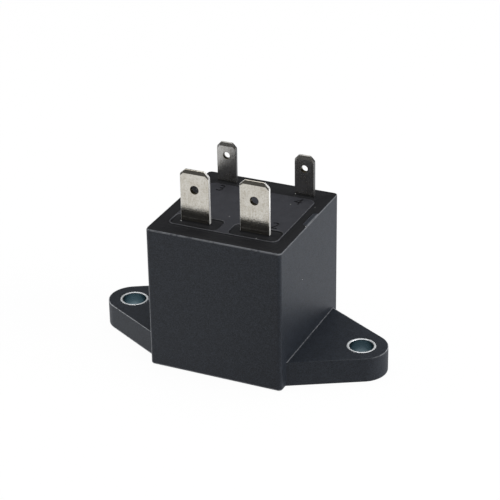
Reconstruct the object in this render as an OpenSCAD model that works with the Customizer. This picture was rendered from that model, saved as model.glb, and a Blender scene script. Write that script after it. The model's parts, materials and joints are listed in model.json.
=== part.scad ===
// Sealed direct-current contactor: a moulded case with two mounting ears, four push-on
// tabs in a potted top, and a plunger magnet that lifts a double-break contact bridge.
// Millimetres. Z = 0 is the mounting face, X runs through both mounting holes, and the
// load tabs stand towards -Y.

/* [Case] */
// Width of the case, along the line of the mounting holes
case_w = 29.3; // [27:0.1:34]
// Depth of the case, from the load tabs' side to the coil tabs' side
case_d = 30.3; // [28.8:0.1:34]
// Height of the case's rim above the mounting face
case_h = 31; // [29:0.1:40]
// Thickness of the case's side walls at the mouth
case_wall = 1.2; // [0.8:0.1:1.3]
// How far the wall steps in below the mouth, to carry the terminal base
ledge_w = 0.6; // [0.4:0.1:0.8]
// Thickness of the case's floor
case_floor = 1.6; // [1:0.1:2.4]
// Radius of the case's upright corners
corner_r = 0.8; // [0.6:0.1:1.6]
// Radius of the case's bottom edges
foot_edge_r = 0.5; // [0.2:0.1:0.6]
// Radius of the case's rim
rim_edge_r = 0.2; // [0.1:0.05:0.3]

/* [Mounting ears] */
// Distance between the two mounting holes
hole_spacing = 52; // [48:0.5:62]
// Thickness of the ears
ear_t = 5.4; // [4:0.1:8]
// Radius of an ear's round end
ear_end_r = 5.5; // [5.2:0.1:7]
// How far an ear's root is set in from the case's front and back faces
ear_root_inset = 2.6; // [1.5:0.1:5]
// Radius of the ears' edges
ear_edge_r = 0.35; // [0.2:0.05:0.6]
// Radius of the fillet between an ear's top and the case's side
ear_fillet_r = 0.4; // [0.2:0.05:0.8]
// Bore of the metal sleeves in the ears
sleeve_bore = 5.3; // [4.3:0.1:5.5]
// Wall of the metal sleeves
sleeve_wall = 0.65; // [0.5:0.05:0.9]
// Chamfer on the sleeves' ends
sleeve_chamfer = 0.15; // [0.05:0.05:0.25]

/* [Terminal base] */
// Width of the potted groove beside the raised panel, at each side
groove_side = 1.3; // [1:0.05:2]
// Width of the potted groove in front of the raised panel
groove_front = 3.4; // [3:0.1:4.5]
// Width of the potted groove behind the raised panel
groove_back = 3.8; // [2.8:0.1:4]
// Depth of the potted groove below the rim
groove_depth = 3.2; // [2.4:0.1:4]
// Thickness of the terminal base under the groove
base_t = 2.6; // [2:0.1:3.4]
// How far the raised panel lies below the rim
panel_drop = 0.2; // [0:0.05:0.4]
// How far the potting lies below the rim
potting_drop = 0.5; // [0.4:0.05:1]
// Radius of the raised panel's corners
panel_r = 1.6; // [0.8:0.1:2.2]
// Width of the rib between the two wells
rib_w = 2.5; // [1.5:0.1:3]
// Size of the wells round the load tabs, front to back
well_d = 4.5; // [3.4:0.1:5.5]
// Depth of the wells below the raised panel
well_depth = 2.2; // [1.5:0.1:3]
// Radius of the wells' corners
well_r = 1; // [0.5:0.1:1.4]
// Thickness of the lip between a well and the groove in front of it
front_lip = 0.4; // [0.3:0.05:1]
// Thickness of the lip between a well and the groove beside it
side_lip = 0.7; // [0.4:0.05:1]
// Distance from a well's front edge to its load tab
load_gap = 1.2; // [0.8:0.1:2.2]

/* [Load tabs] */
// Width of a load tab
load_w = 6.3; // [5.8:0.1:6.8]
// Thickness of a load tab
load_t = 0.8; // [0.6:0.05:1]
// Height of a load tab above the rim
load_h = 11.5; // [9:0.1:15]
// Distance from the mouth's side to the middle of a load tab
load_side = 6.95; // [6.4:0.05:7.2]
// Diameter of the hole in a load tab
load_hole_d = 1.7; // [1.2:0.1:2.4]
// Distance from a load tab's tip to its hole
load_hole_drop = 4.2; // [3:0.1:5]
// Corner cut at a load tab's tip, across
load_cut_w = 1.1; // [0.5:0.1:1.6]
// Corner cut at a load tab's tip, down
load_cut_h = 1; // [0.5:0.1:1.8]

/* [Coil tabs] */
// Width of a coil tab
coil_tab_w = 4.3; // [3.6:0.1:5]
// Thickness of a coil tab
coil_tab_t = 0.8; // [0.5:0.05:0.9]
// Height of a coil tab above the rim
coil_tab_h = 9.1; // [7:0.1:12]
// Distance from the mouth's side to the middle of a coil tab
coil_side = 4.7; // [4.2:0.1:5.4]
// Distance from the raised panel to the coil tabs
coil_tab_gap = 0.9; // [0.4:0.1:1.2]
// Diameter of the hole in a coil tab
coil_hole_d = 1.45; // [1:0.05:1.8]
// Distance from a coil tab's tip to its hole
coil_hole_drop = 2.9; // [2.2:0.1:4]
// Corner cut at a coil tab's tip, across
coil_cut_w = 0.9; // [0.4:0.05:1.3]
// Corner cut at a coil tab's tip, down
coil_cut_h = 1; // [0.5:0.1:1.6]
// Thickness left at every tab's tip after its lead-in bevels
tip_t = 0.35; // [0.2:0.05:0.5]
// Length of the lead-in bevels
tip_l = 1.1; // [0.4:0.1:1.3]

/* [Contacts] */
// Open gap between the fixed and the moving contacts
contact_gap = 1.5; // [1:0.1:1.9]
// How far the plunger still travels after the contacts have met
overtravel = 0.6; // [0.3:0.1:0.8]
// Diameter of the contact faces
contact_d = 4; // [3:0.1:4.4]
// Thickness of the fixed contacts
fixed_contact_h = 1; // [0.6:0.1:1.4]
// Thickness of the moving contacts
moving_contact_h = 0.8; // [0.5:0.1:1.2]
// Diameter of the contacts' rivet shanks
rivet_d = 1.8; // [1.2:0.1:2.2]
// Thickness of the contact bridge
bridge_t = 1.2; // [0.8:0.1:1.6]
// Width of the contact bridge
bridge_w = 5; // [4.8:0.1:5.4]
// Metal past a contact at the bridge's ends and the load tabs' feet
contact_margin = 0.8; // [0.4:0.1:1]
// Wire of the contact spring
contact_wire = 0.5; // [0.35:0.05:0.6]
// Outer diameter of the contact spring
contact_spring_od = 4.8; // [4.2:0.1:5]
// Length of the contact spring at rest
contact_spring_l = 3.2; // [3:0.1:4.2]

/* [Arc chamber] */
// Thickness of the arc chamber's walls and floor
chamber_wall = 0.8; // [0.6:0.1:1]
// Gap between the bridge's sides and the arc chamber
chamber_side_gap = 1.5; // [1.2:0.1:1.8]
// Gap between the bridge's ends and the arc chamber
chamber_end_gap = 1.4; // [1:0.1:1.8]
// Thickness of the blow-out magnets
magnet_t = 1.8; // [1.2:0.1:2]
// Thickness of the steel keepers behind the magnets
keeper_t = 0.8; // [0.6:0.1:1]

/* [Magnet] */
// Diameter of the plunger and of the fixed core
plunger_d = 7.6; // [6.6:0.1:8.4]
// Diameter of the shaft
shaft_d = 2; // [1.6:0.1:2.2]
// Length of the fixed core below the pole plate
core_l = 3.6; // [3:0.1:4.5]
// Steel of the yoke
yoke_t = 1.2; // [1:0.1:1.5]
// Width of the yoke
yoke_w = 14; // [11:0.5:16]
// Steel of the pole plate
pole_t = 1.4; // [1.2:0.1:1.8]
// Gap between the pole plate and the case's front and back walls
pole_gap = 4.3; // [2.8:0.1:5]
// Gap between the magnet frame and the case's side walls
frame_gap = 0.45; // [0.3:0.05:0.7]
// Thickness of the bobbin's flanges
flange_t = 0.9; // [0.6:0.1:1.2]
// Wall of the bobbin's tube
bobbin_wall = 0.8; // [0.6:0.1:1.2]
// How far the flanges stand proud of the wound and taped coil
flange_lip = 0.7; // [0.4:0.1:1.4]
// Thickness of the tape round the winding
tape_t = 0.3; // [0.2:0.05:0.5]
// Wall of the brass guide sleeve
guide_wall = 0.3; // [0.2:0.05:0.4]
// Wire of the return spring
return_wire = 0.4; // [0.3:0.05:0.45]
// Outer diameter of the return spring
return_spring_od = 4.6; // [4:0.1:4.8]
// Depth of the return spring's pocket in the plunger
pocket_depth = 2.2; // [2:0.1:2.6]
// Steel left in the plunger below the shaft's end
plunger_web = 1; // [0.6:0.1:1.4]
// Thickness of the rubber pad under the plunger
damper_t = 0.6; // [0.4:0.1:1]

/* [Hidden] */
$fn = 64;

// Clearances: between parts that stay together, round what slides, and between faces that part
seat_gap = 0.02;
running_gap = 0.08;
hair_gap = 0.02;
// Facets round a hull's own rounded pieces
hull_fn = 32;
// Facets across and turns along a spring's wire
wire_fn = 8;
steps_per_turn = 20;

// Heights, from the rim down to the contacts
rim_z = case_h;
panel_z = rim_z - panel_drop;
potting_z = rim_z - potting_drop;
base_top_z = rim_z - groove_depth;
base_bot_z = base_top_z - base_t;
foot_z = base_bot_z - load_t;
fixed_face_z = foot_z - fixed_contact_h;
moving_face_z = fixed_face_z - contact_gap;
bridge_top_z = moving_face_z - moving_contact_h;
bridge_bot_z = bridge_top_z - bridge_t;
// Heights of the shaft's parts and of the magnet below it
seat_t = 0.6;
seat_lift = 0.5;
seat_z = bridge_bot_z - contact_spring_l;
pole_top_z = seat_z - seat_t - seat_lift;
pole_bot_z = pole_top_z - pole_t;
core_face_z = pole_bot_z - core_l;
stroke = contact_gap + overtravel;
plunger_top_z = core_face_z - stroke;
plunger_bot_z = case_floor + damper_t + hair_gap;
pocket_z = plunger_top_z - pocket_depth;
yoke_top_z = case_floor + yoke_t;

// The inside of the case, at its mouth and below the ledge
mouth_w = case_w - 2 * case_wall;
mouth_d = case_d - 2 * case_wall;
mouth_r = 0.5;
inner_w = mouth_w - 2 * ledge_w;
inner_d = mouth_d - 2 * ledge_w;
ear_x = hole_spacing / 2;
ear_root = case_d / 2 - ear_root_inset;
sleeve_r = sleeve_bore / 2 + sleeve_wall;

// The raised panel, its wells and the tabs
panel_w = mouth_w - 2 * groove_side;
panel_front = -mouth_d / 2 + groove_front;
panel_back = mouth_d / 2 - groove_back;
panel_d = panel_back - panel_front;
panel_y = (panel_front + panel_back) / 2;
well_w = panel_w / 2 - side_lip - rib_w / 2;
well_x = rib_w / 2 + well_w / 2;
well_y = panel_front + front_lip + well_d / 2;
well_z = panel_z - well_depth;
load_x = mouth_w / 2 - load_side;
load_y = panel_front + front_lip + load_gap + load_t / 2;
load_tip_z = rim_z + load_h;
coil_x = mouth_w / 2 - coil_side;
coil_y = panel_back + coil_tab_gap + coil_tab_t / 2;
coil_tip_z = rim_z + coil_tab_h;
tail_w = 1.2;
tail_l = 2.5;
shoulder_l = 5;
tail_z = base_bot_z - shoulder_l - tail_l;

// The contacts stand on the shaft's line
contact_r = contact_d / 2;
rivet_r = rivet_d / 2;
foot_reach = contact_r + contact_margin;
bridge_l = 2 * (load_x + foot_reach);
bend_r = 0.6;

// The shaft, its spring seat and its clip
shaft_r = shaft_d / 2;
seat_r = contact_spring_od / 2 + 0.4;
clip_t = 0.4;
clip_r = 2.2;
groove_r = shaft_r - 0.25;
shaft_bot_z = plunger_bot_z + plunger_web;
shaft_top_z = bridge_top_z + hair_gap + clip_t + 0.6;

// The coil, from the plunger outwards
plunger_r = plunger_d / 2;
guide_r = plunger_r + running_gap;
guide_out_r = guide_r + guide_wall;
tube_r = guide_out_r + seat_gap;
tube_out_r = tube_r + bobbin_wall;
frame_x = inner_w / 2 - frame_gap;
leg_x = frame_x - yoke_t;
flange_clear = 0.6;
flange_r = leg_x - flange_clear;
tape_r = flange_r - flange_lip;
winding_r = tape_r - tape_t;
pole_d = inner_d - 2 * pole_gap;
tenon_w = 6;
neck_r = plunger_r - 1;
yoke_hole_r = plunger_r + 0.3;
pocket_r = return_spring_od / 2 + 0.3;
edge_cut = 0.3;

// The arc chamber, from the bridge outwards
chamber_x = bridge_l / 2 + chamber_end_gap;
chamber_y = bridge_w / 2 + chamber_side_gap;
magnet_y = chamber_y + chamber_wall;
keeper_y = magnet_y + magnet_t + seat_gap;
cheek_y = keeper_y + keeper_t;
chamber_floor_z = pole_top_z + chamber_wall;
top_gap = 0.05;
chamber_top_z = foot_z - top_gap;
magnet_drop = 0.6;
magnet_h = chamber_top_z - magnet_drop - chamber_floor_z;

// The coil's leads
lead_d = 0.5;
lead_z = pole_bot_z - flange_t - 0.6;

function sides() = [-1, 1];

// The outline of a rectangle with round corners, about the origin
module round_rect(w, d, r) {
    square([w - 2 * r, d], center = true);
    square([w, d - 2 * r], center = true);
    for (sx = sides(), sy = sides())
        translate([sx * (w / 2 - r), sy * (d / 2 - r)])
            circle(r = r);
}

// Extrudes an outline drawn in the XZ plane by t, centred on the plane
module extrude_y(t) {
    translate([0, t / 2, 0])
        rotate([90, 0, 0])
            linear_extrude(t)
                children();
}

// Extrudes an outline drawn in the YZ plane by w, centred on the plane
module extrude_x(w) {
    rotate([90, 0, 90])
        translate([0, 0, -w / 2])
            linear_extrude(w)
                children();
}

// A turned rod of radius r and height h whose two rims are rounded by low_r and high_r
module rounded_rod(r, h, low_r, high_r) {
    steps = 4;
    rotate_extrude($fn = hull_fn)
        polygon(concat(
            [[0, 0]],
            [for (i = [0:steps]) let (a = 90 * i / steps)
                [r - low_r + low_r * sin(a), low_r - low_r * cos(a)]],
            [for (i = [0:steps]) let (a = 90 * i / steps)
                [r - high_r + high_r * cos(a), h - high_r + high_r * sin(a)]],
            [[0, h]]));
}

module case_block() {
    hull()
        for (sx = sides(), sy = sides())
            translate([sx * (case_w / 2 - corner_r), sy * (case_d / 2 - corner_r), 0])
                rounded_rod(corner_r, case_h, foot_edge_r, rim_edge_r);
}

// One tapered ear, from the case's side wall to its round end
module ear(side) {
    root_t = case_wall / 2;
    hull() {
        translate([side * ear_x, 0, 0])
            rounded_rod(ear_end_r, ear_t, ear_edge_r, ear_edge_r);
        translate([side * (case_w / 2 - root_t / 2), 0, ear_t / 2])
            extrude_x(root_t)
                round_rect(2 * ear_root, ear_t, ear_edge_r);
    }
}

// The concave fillet where an ear's top meets the case's side
module ear_fillet(side) {
    bite = 0.1;
    steps = 6;
    translate([side * case_w / 2, 0, ear_t])
        extrude_y(2 * (ear_root - ear_edge_r))
            polygon(concat(
                [[-side * bite, ear_fillet_r], [-side * bite, -bite], [side * ear_fillet_r, -bite]],
                [for (i = [0:steps]) let (a = 90 * i / steps)
                    [side * ear_fillet_r * (1 - sin(a)), ear_fillet_r * (1 - cos(a))]]));
}

module housing() {
    color("#303438")
        difference() {
            union() {
                case_block();
                for (side = sides()) {
                    ear(side);
                    ear_fillet(side);
                }
            }
            translate([0, 0, case_floor])
                linear_extrude(case_h)
                    round_rect(inner_w, inner_d, mouth_r);
            translate([0, 0, base_bot_z])
                linear_extrude(case_h)
                    round_rect(mouth_w, mouth_d, mouth_r);
            for (side = sides())
                translate([side * ear_x, 0, -1])
                    cylinder(r = sleeve_r + seat_gap, h = ear_t + 2);
        }
}

module mounting_sleeve(side) {
    color("#b9c4ca")
        translate([side * ear_x, 0, 0])
            rotate_extrude()
                polygon([
                    [sleeve_bore / 2, sleeve_chamfer],
                    [sleeve_bore / 2 + sleeve_chamfer, 0],
                    [sleeve_r - sleeve_chamfer, 0],
                    [sleeve_r, sleeve_chamfer],
                    [sleeve_r, ear_t - sleeve_chamfer],
                    [sleeve_r - sleeve_chamfer, ear_t],
                    [sleeve_bore / 2 + sleeve_chamfer, ear_t],
                    [sleeve_bore / 2, ear_t - sleeve_chamfer]]);
}

// What a load tab and a coil tab leave in the pieces that they pass through
module tab_slots() {
    for (side = sides()) {
        translate([side * load_x, load_y, case_h / 2])
            cube([load_w + 2 * seat_gap, load_t + 2 * seat_gap, case_h + 2], center = true);
        translate([side * coil_x, coil_y, case_h / 2])
            cube([coil_tab_w + 2 * seat_gap, coil_tab_t + 2 * seat_gap, case_h + 2],
                 center = true);
    }
}

module well_outline(shrink) {
    round_rect(well_w - 2 * shrink, well_d - 2 * shrink, well_r);
}

module terminal_base() {
    color("#3b3c43")
        difference() {
            union() {
                translate([0, 0, base_bot_z])
                    linear_extrude(base_t)
                        round_rect(mouth_w - 2 * seat_gap, mouth_d - 2 * seat_gap, mouth_r);
                translate([0, panel_y, base_bot_z])
                    linear_extrude(panel_z - base_bot_z)
                        round_rect(panel_w, panel_d, panel_r);
            }
            for (side = sides())
                translate([side * well_x, well_y, well_z])
                    linear_extrude(case_h)
                        well_outline(0);
            tab_slots();
        }
}

module rim_potting() {
    color("#1f2024")
        difference() {
            translate([0, 0, base_top_z])
                linear_extrude(potting_z - base_top_z)
                    round_rect(mouth_w - 2 * seat_gap, mouth_d - 2 * seat_gap, mouth_r);
            translate([0, panel_y, 0])
                linear_extrude(case_h)
                    round_rect(panel_w + 2 * seat_gap, panel_d + 2 * seat_gap, panel_r);
            tab_slots();
        }
}

module well_potting(side) {
    color("#1f2024")
        difference() {
            translate([side * well_x, well_y, well_z])
                linear_extrude(potting_z - well_z)
                    well_outline(seat_gap);
            tab_slots();
        }
}

// The flat outline of a tab's free end, from height low up to its tip
module tab_front(w, low, tip, cut_w, cut_h) {
    polygon([
        [-w / 2, low],
        [w / 2, low],
        [w / 2, tip - cut_h],
        [w / 2 - cut_w, tip],
        [cut_w - w / 2, tip],
        [-w / 2, tip - cut_h]]);
}

// The edge view of a tab's free end, thinned by its lead-in bevels
module tab_edge(t, low, tip) {
    polygon([
        [-t / 2, low],
        [t / 2, low],
        [t / 2, tip - tip_l],
        [tip_t / 2, tip],
        [-tip_t / 2, tip],
        [-t / 2, tip - tip_l]]);
}

// A round hole along Y, through a tab at height z
module tab_hole(d, z) {
    translate([0, 0, z])
        rotate([90, 0, 0])
            cylinder(d = d, h = 4, center = true);
}

// A load tab and its foot: one strip, bent back under the terminal base to its contact
module load_terminal(side) {
    foot_l = foot_reach - load_y + load_t / 2;
    color("#c9c6bd")
        translate([side * load_x, load_y, 0])
            difference() {
                union() {
                    intersection() {
                        extrude_y(load_t)
                            tab_front(load_w, foot_z + bend_r, load_tip_z,
                                      load_cut_w, load_cut_h);
                        extrude_x(load_w)
                            tab_edge(load_t, foot_z, load_tip_z);
                    }
                    extrude_x(load_w)
                        difference() {
                            translate([-load_t / 2, foot_z])
                                square([load_t, bend_r + load_t]);
                            difference() {
                                translate([-load_t / 2 - 1, foot_z - 1])
                                    square(bend_r + 1);
                                translate([bend_r - load_t / 2, foot_z + bend_r])
                                    circle(r = bend_r);
                            }
                        }
                    translate([-load_w / 2, bend_r - load_t / 2, foot_z])
                        cube([load_w, foot_l - bend_r, load_t]);
                }
                tab_hole(load_hole_d, load_tip_z - load_hole_drop);
                translate([0, -load_y, foot_z - 1])
                    cylinder(r = rivet_r + seat_gap, h = load_t + 2);
            }
}

module coil_terminal(side) {
    color("#c9c6bd")
        translate([side * coil_x, coil_y, 0])
            difference() {
                intersection() {
                    extrude_y(coil_tab_t)
                        union() {
                            tab_front(coil_tab_w, base_bot_z - shoulder_l, coil_tip_z,
                                      coil_cut_w, coil_cut_h);
                            translate([-tail_w / 2, tail_z])
                                square([tail_w, tail_l + 1]);
                        }
                    extrude_x(coil_tab_w)
                        tab_edge(coil_tab_t, tail_z, coil_tip_z);
                }
                tab_hole(coil_hole_d, coil_tip_z - coil_hole_drop);
            }
}

// A contact rivet: its face at z = 0, its head h tall and its shank shank_l beyond, downwards
module contact_rivet(h, shank_l) {
    color("#d8d5cc")
        rotate_extrude()
            polygon([
                [0, 0],
                [contact_r - edge_cut, 0],
                [contact_r, -edge_cut],
                [contact_r, -h],
                [rivet_r, -h],
                [rivet_r, -h - shank_l],
                [0, -h - shank_l]]);
}

module fixed_contact(side) {
    translate([side * load_x, 0, fixed_face_z])
        mirror([0, 0, 1])
            contact_rivet(fixed_contact_h, load_t);
}

module moving_contact(side) {
    translate([side * load_x, 0, moving_face_z])
        contact_rivet(moving_contact_h, bridge_t);
}

module contact_bridge() {
    color("#b87345")
        translate([0, 0, bridge_bot_z])
            difference() {
                linear_extrude(bridge_t)
                    round_rect(bridge_l, bridge_w, bridge_w / 3);
                for (side = sides())
                    translate([side * load_x, 0, -1])
                        cylinder(r = rivet_r + seat_gap, h = bridge_t + 2);
                translate([0, 0, -1])
                    cylinder(r = shaft_r + running_gap, h = bridge_t + 2);
            }
}

// An open snap ring in the shaft's groove, over the bridge
module bridge_clip() {
    mouth = 2 * groove_r - 0.1;
    color("#8f9499")
        translate([0, 0, bridge_top_z + hair_gap])
            difference() {
                cylinder(r = clip_r, h = clip_t);
                translate([0, 0, -1])
                    cylinder(r = groove_r + seat_gap, h = clip_t + 2);
                translate([0, -mouth / 2, -1])
                    cube([clip_r + 1, mouth, clip_t + 2]);
            }
}

// How far up a spring its wire has wound after turn t of n, with a closed turn at each end
function wound(t, n, wire, l) =
    let (closed = 0.9, pitch = (l - wire - 2 * closed * wire) / (n - 2 * closed))
    t < closed ? wire * t
    : t > n - closed ? l - wire - wire * (n - t)
    : wire * closed + pitch * (t - closed);

// A round-wire spring of outer diameter od, standing on z = 0 and l long
module coil_spring(od, wire, l, turns) {
    r = (od - wire) / 2;
    rings = turns * steps_per_turn;
    points = [for (i = [0:rings], j = [0:wire_fn - 1])
        let (t = i / steps_per_turn,
             a = 360 * t,
             b = 360 * j / wire_fn,
             reach = r + wire / 2 * cos(b))
        [reach * cos(a), reach * sin(a), wound(t, turns, wire, l) + wire / 2 * (1 + sin(b))]];
    skin = [for (i = [0:rings - 1], j = [0:wire_fn - 1])
        let (k = (j + 1) % wire_fn, low = i * wire_fn, high = low + wire_fn)
        each [[low + j, low + k, high + k], [low + j, high + k, high + j]]];
    first = [for (j = [wire_fn - 1:-1:0]) j];
    last = [for (j = [0:wire_fn - 1]) rings * wire_fn + j];
    polyhedron(points, concat(skin, [first, last]));
}

module contact_spring() {
    color("#a9adb0")
        translate([0, 0, seat_z])
            coil_spring(contact_spring_od, contact_wire, contact_spring_l, 4);
}

module return_spring() {
    color("#a9adb0")
        translate([0, 0, pocket_z])
            coil_spring(return_spring_od, return_wire, core_face_z - pocket_z, 4);
}

// The turned shaft, with the contact spring's seat and the clip's groove
module shaft() {
    groove_low = bridge_top_z;
    groove_high = groove_low + clip_t + 2 * hair_gap;
    color("#9aa0a4")
        rotate_extrude()
            polygon([
                [0, shaft_bot_z],
                [shaft_r, shaft_bot_z],
                [shaft_r, seat_z - seat_t],
                [seat_r, seat_z - seat_t],
                [seat_r, seat_z],
                [shaft_r, seat_z],
                [shaft_r, groove_low],
                [groove_r, groove_low],
                [groove_r, groove_high],
                [shaft_r, groove_high],
                [shaft_r, shaft_top_z - edge_cut],
                [shaft_r - edge_cut, shaft_top_z],
                [0, shaft_top_z]]);
}

module plunger() {
    color("#7c8185")
        difference() {
            rotate_extrude()
                polygon([
                    [0, plunger_bot_z],
                    [plunger_r - edge_cut, plunger_bot_z],
                    [plunger_r, plunger_bot_z + edge_cut],
                    [plunger_r, plunger_top_z - edge_cut],
                    [plunger_r - edge_cut, plunger_top_z],
                    [0, plunger_top_z]]);
            translate([0, 0, pocket_z])
                cylinder(r = pocket_r, h = pocket_depth + 1);
            translate([0, 0, shaft_bot_z])
                cylinder(r = shaft_r + seat_gap, h = pocket_z - shaft_bot_z + 1);
        }
}

module fixed_core() {
    color("#7c8185")
        difference() {
            union() {
                translate([0, 0, core_face_z])
                    cylinder(r = plunger_r, h = core_l);
                translate([0, 0, pole_bot_z])
                    cylinder(r = neck_r, h = pole_t);
            }
            translate([0, 0, core_face_z - 1])
                cylinder(r = shaft_r + running_gap, h = core_l + pole_t + 2);
        }
}

module pole_plate() {
    color("#8b9094")
        difference() {
            translate([0, 0, pole_bot_z])
                linear_extrude(pole_t)
                    round_rect(2 * frame_x, pole_d, 1.5);
            translate([0, 0, pole_bot_z - 1])
                cylinder(r = neck_r + seat_gap, h = pole_t + 2);
            for (side = sides())
                translate([side * frame_x, 0, pole_bot_z])
                    cube([2 * (yoke_t + seat_gap), tenon_w + 2 * seat_gap, 3 * pole_t],
                         center = true);
        }
}

// The U-shaped yoke, with a tenon on each leg that is staked into the pole plate
module yoke() {
    yoke_r = 0.8;
    color("#8b9094")
        difference() {
            union() {
                translate([0, 0, case_floor])
                    extrude_y(yoke_w)
                        difference() {
                            translate([-frame_x, 0])
                                square([2 * frame_x, pole_bot_z - case_floor]);
                            translate([-leg_x, yoke_t])
                                square([2 * leg_x, pole_bot_z]);
                            for (side = sides())
                                difference() {
                                    translate([side * frame_x, 0])
                                        square(2 * yoke_r, center = true);
                                    translate([side * (frame_x - yoke_r), yoke_r])
                                        circle(r = yoke_r);
                                }
                        }
                for (side = sides())
                    translate([side * (frame_x - yoke_t / 2), 0, pole_bot_z + pole_t / 2 - 0.5])
                        cube([yoke_t, tenon_w, pole_t + 1], center = true);
            }
            translate([0, 0, case_floor - 1])
                cylinder(r = yoke_hole_r, h = yoke_t + 2);
        }
}

// A plain tube between two heights
module tube(inner_r, outer_r, low, high) {
    translate([0, 0, low])
        difference() {
            cylinder(r = outer_r, h = high - low);
            translate([0, 0, -1])
                cylinder(r = inner_r, h = high - low + 2);
        }
}

module guide_sleeve() {
    color("#c8a951")
        tube(guide_r, guide_out_r, yoke_top_z, pole_bot_z);
}

module bobbin() {
    color("#d9d2bf")
        union() {
            tube(tube_r, tube_out_r, yoke_top_z, pole_bot_z);
            tube(tube_r, flange_r, yoke_top_z, yoke_top_z + flange_t);
            tube(tube_r, flange_r, pole_bot_z - flange_t, pole_bot_z);
        }
}

module coil_winding() {
    color("#a8562a")
        tube(tube_out_r + seat_gap, winding_r, yoke_top_z + flange_t + seat_gap,
             pole_bot_z - flange_t - seat_gap);
}

module winding_tape() {
    color("#c7a23a")
        tube(winding_r + seat_gap, tape_r, yoke_top_z + flange_t + seat_gap,
             pole_bot_z - flange_t - seat_gap);
}

// A round wire in straight stretches, with a ball at each bend
module wire_run(points, d) {
    for (i = [0:len(points) - 2])
        let (v = points[i + 1] - points[i], l = norm(v))
        translate(points[i])
            rotate([0, acos(v.z / l), atan2(v.y, v.x)])
                cylinder(d = d, h = l);
    for (i = [1:len(points) - 2])
        translate(points[i])
            sphere(d = d);
}

// A lead from a coil tab's tail, down behind the pole plate and in to the winding
module coil_lead(side) {
    away = norm([coil_x, coil_y]);
    reach = tape_r + seat_gap + lead_d / 8;
    color("#a8562a")
        wire_run([
            [side * coil_x, coil_y, tail_z],
            [side * coil_x, coil_y, lead_z],
            [side * coil_x * reach / away, coil_y * reach / away, lead_z]], lead_d);
}

// An open-topped chamber round the bridge, with cheeks that hold the magnets and keepers
module arc_chamber() {
    chamber_h = chamber_top_z - pole_top_z;
    outer_x = chamber_x + chamber_wall;
    color("#cfc8b8")
        difference() {
            translate([-outer_x, -cheek_y, pole_top_z])
                cube([2 * outer_x, 2 * cheek_y, chamber_h]);
            translate([-chamber_x, -chamber_y, chamber_floor_z])
                cube([2 * chamber_x, 2 * chamber_y, chamber_h]);
            for (side = sides())
                translate([0, side * (magnet_y + cheek_y), chamber_floor_z + chamber_h / 2])
                    cube([2 * chamber_x, 2 * cheek_y, chamber_h], center = true);
            translate([0, 0, pole_top_z - 1])
                cylinder(r = seat_r + 0.5, h = chamber_wall + 2);
        }
}

module magnet(side) {
    color("#4a4b4f")
        translate([0, side * (magnet_y + magnet_t / 2 + seat_gap / 2),
                   chamber_floor_z + magnet_h / 2])
            cube([2 * (chamber_x - seat_gap), magnet_t - seat_gap, magnet_h], center = true);
}

module keeper(side) {
    color("#8b9094")
        translate([0, side * (keeper_y + keeper_t / 2), chamber_floor_z + magnet_h / 2])
            cube([2 * (chamber_x - seat_gap), keeper_t, magnet_h], center = true);
}

module plunger_damper() {
    color("#2b2b2d")
        translate([0, 0, case_floor])
            cylinder(r = plunger_r - edge_cut, h = damper_t);
}

housing();
mounting_sleeve(-1);  // mounting_sleeve_left
mounting_sleeve(1);  // mounting_sleeve_right
terminal_base();
rim_potting();
well_potting(-1);  // well_potting_left
well_potting(1);  // well_potting_right
load_terminal(-1);  // load_terminal_left
load_terminal(1);  // load_terminal_right
coil_terminal(-1);  // coil_terminal_left
coil_terminal(1);  // coil_terminal_right
fixed_contact(-1);  // fixed_contact_left
fixed_contact(1);  // fixed_contact_right
contact_bridge();
moving_contact(-1);  // moving_contact_left
moving_contact(1);  // moving_contact_right
bridge_clip();
contact_spring();
shaft();
plunger();
return_spring();
fixed_core();
pole_plate();
yoke();
guide_sleeve();
bobbin();
coil_winding();
winding_tape();
coil_lead(-1);  // coil_lead_left
coil_lead(1);  // coil_lead_right
arc_chamber();
magnet(-1);  // magnet_front
magnet(1);  // magnet_back
keeper(-1);  // keeper_front
keeper(1);  // keeper_back
plunger_damper();
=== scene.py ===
"""Looks of a sealed direct-current contactor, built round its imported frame.

Every length is in millimetres, in the frame's own axes, and a finished mesh is scaled to metres
as it is seated. The load tabs stand towards -Y, and the mounting holes lie along X.
"""

import json
import logging
import math
from collections.abc import Callable, Iterable
from dataclasses import dataclass, field
from enum import Enum

import bmesh
import bpy
from mathutils import Matrix, Vector

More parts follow.
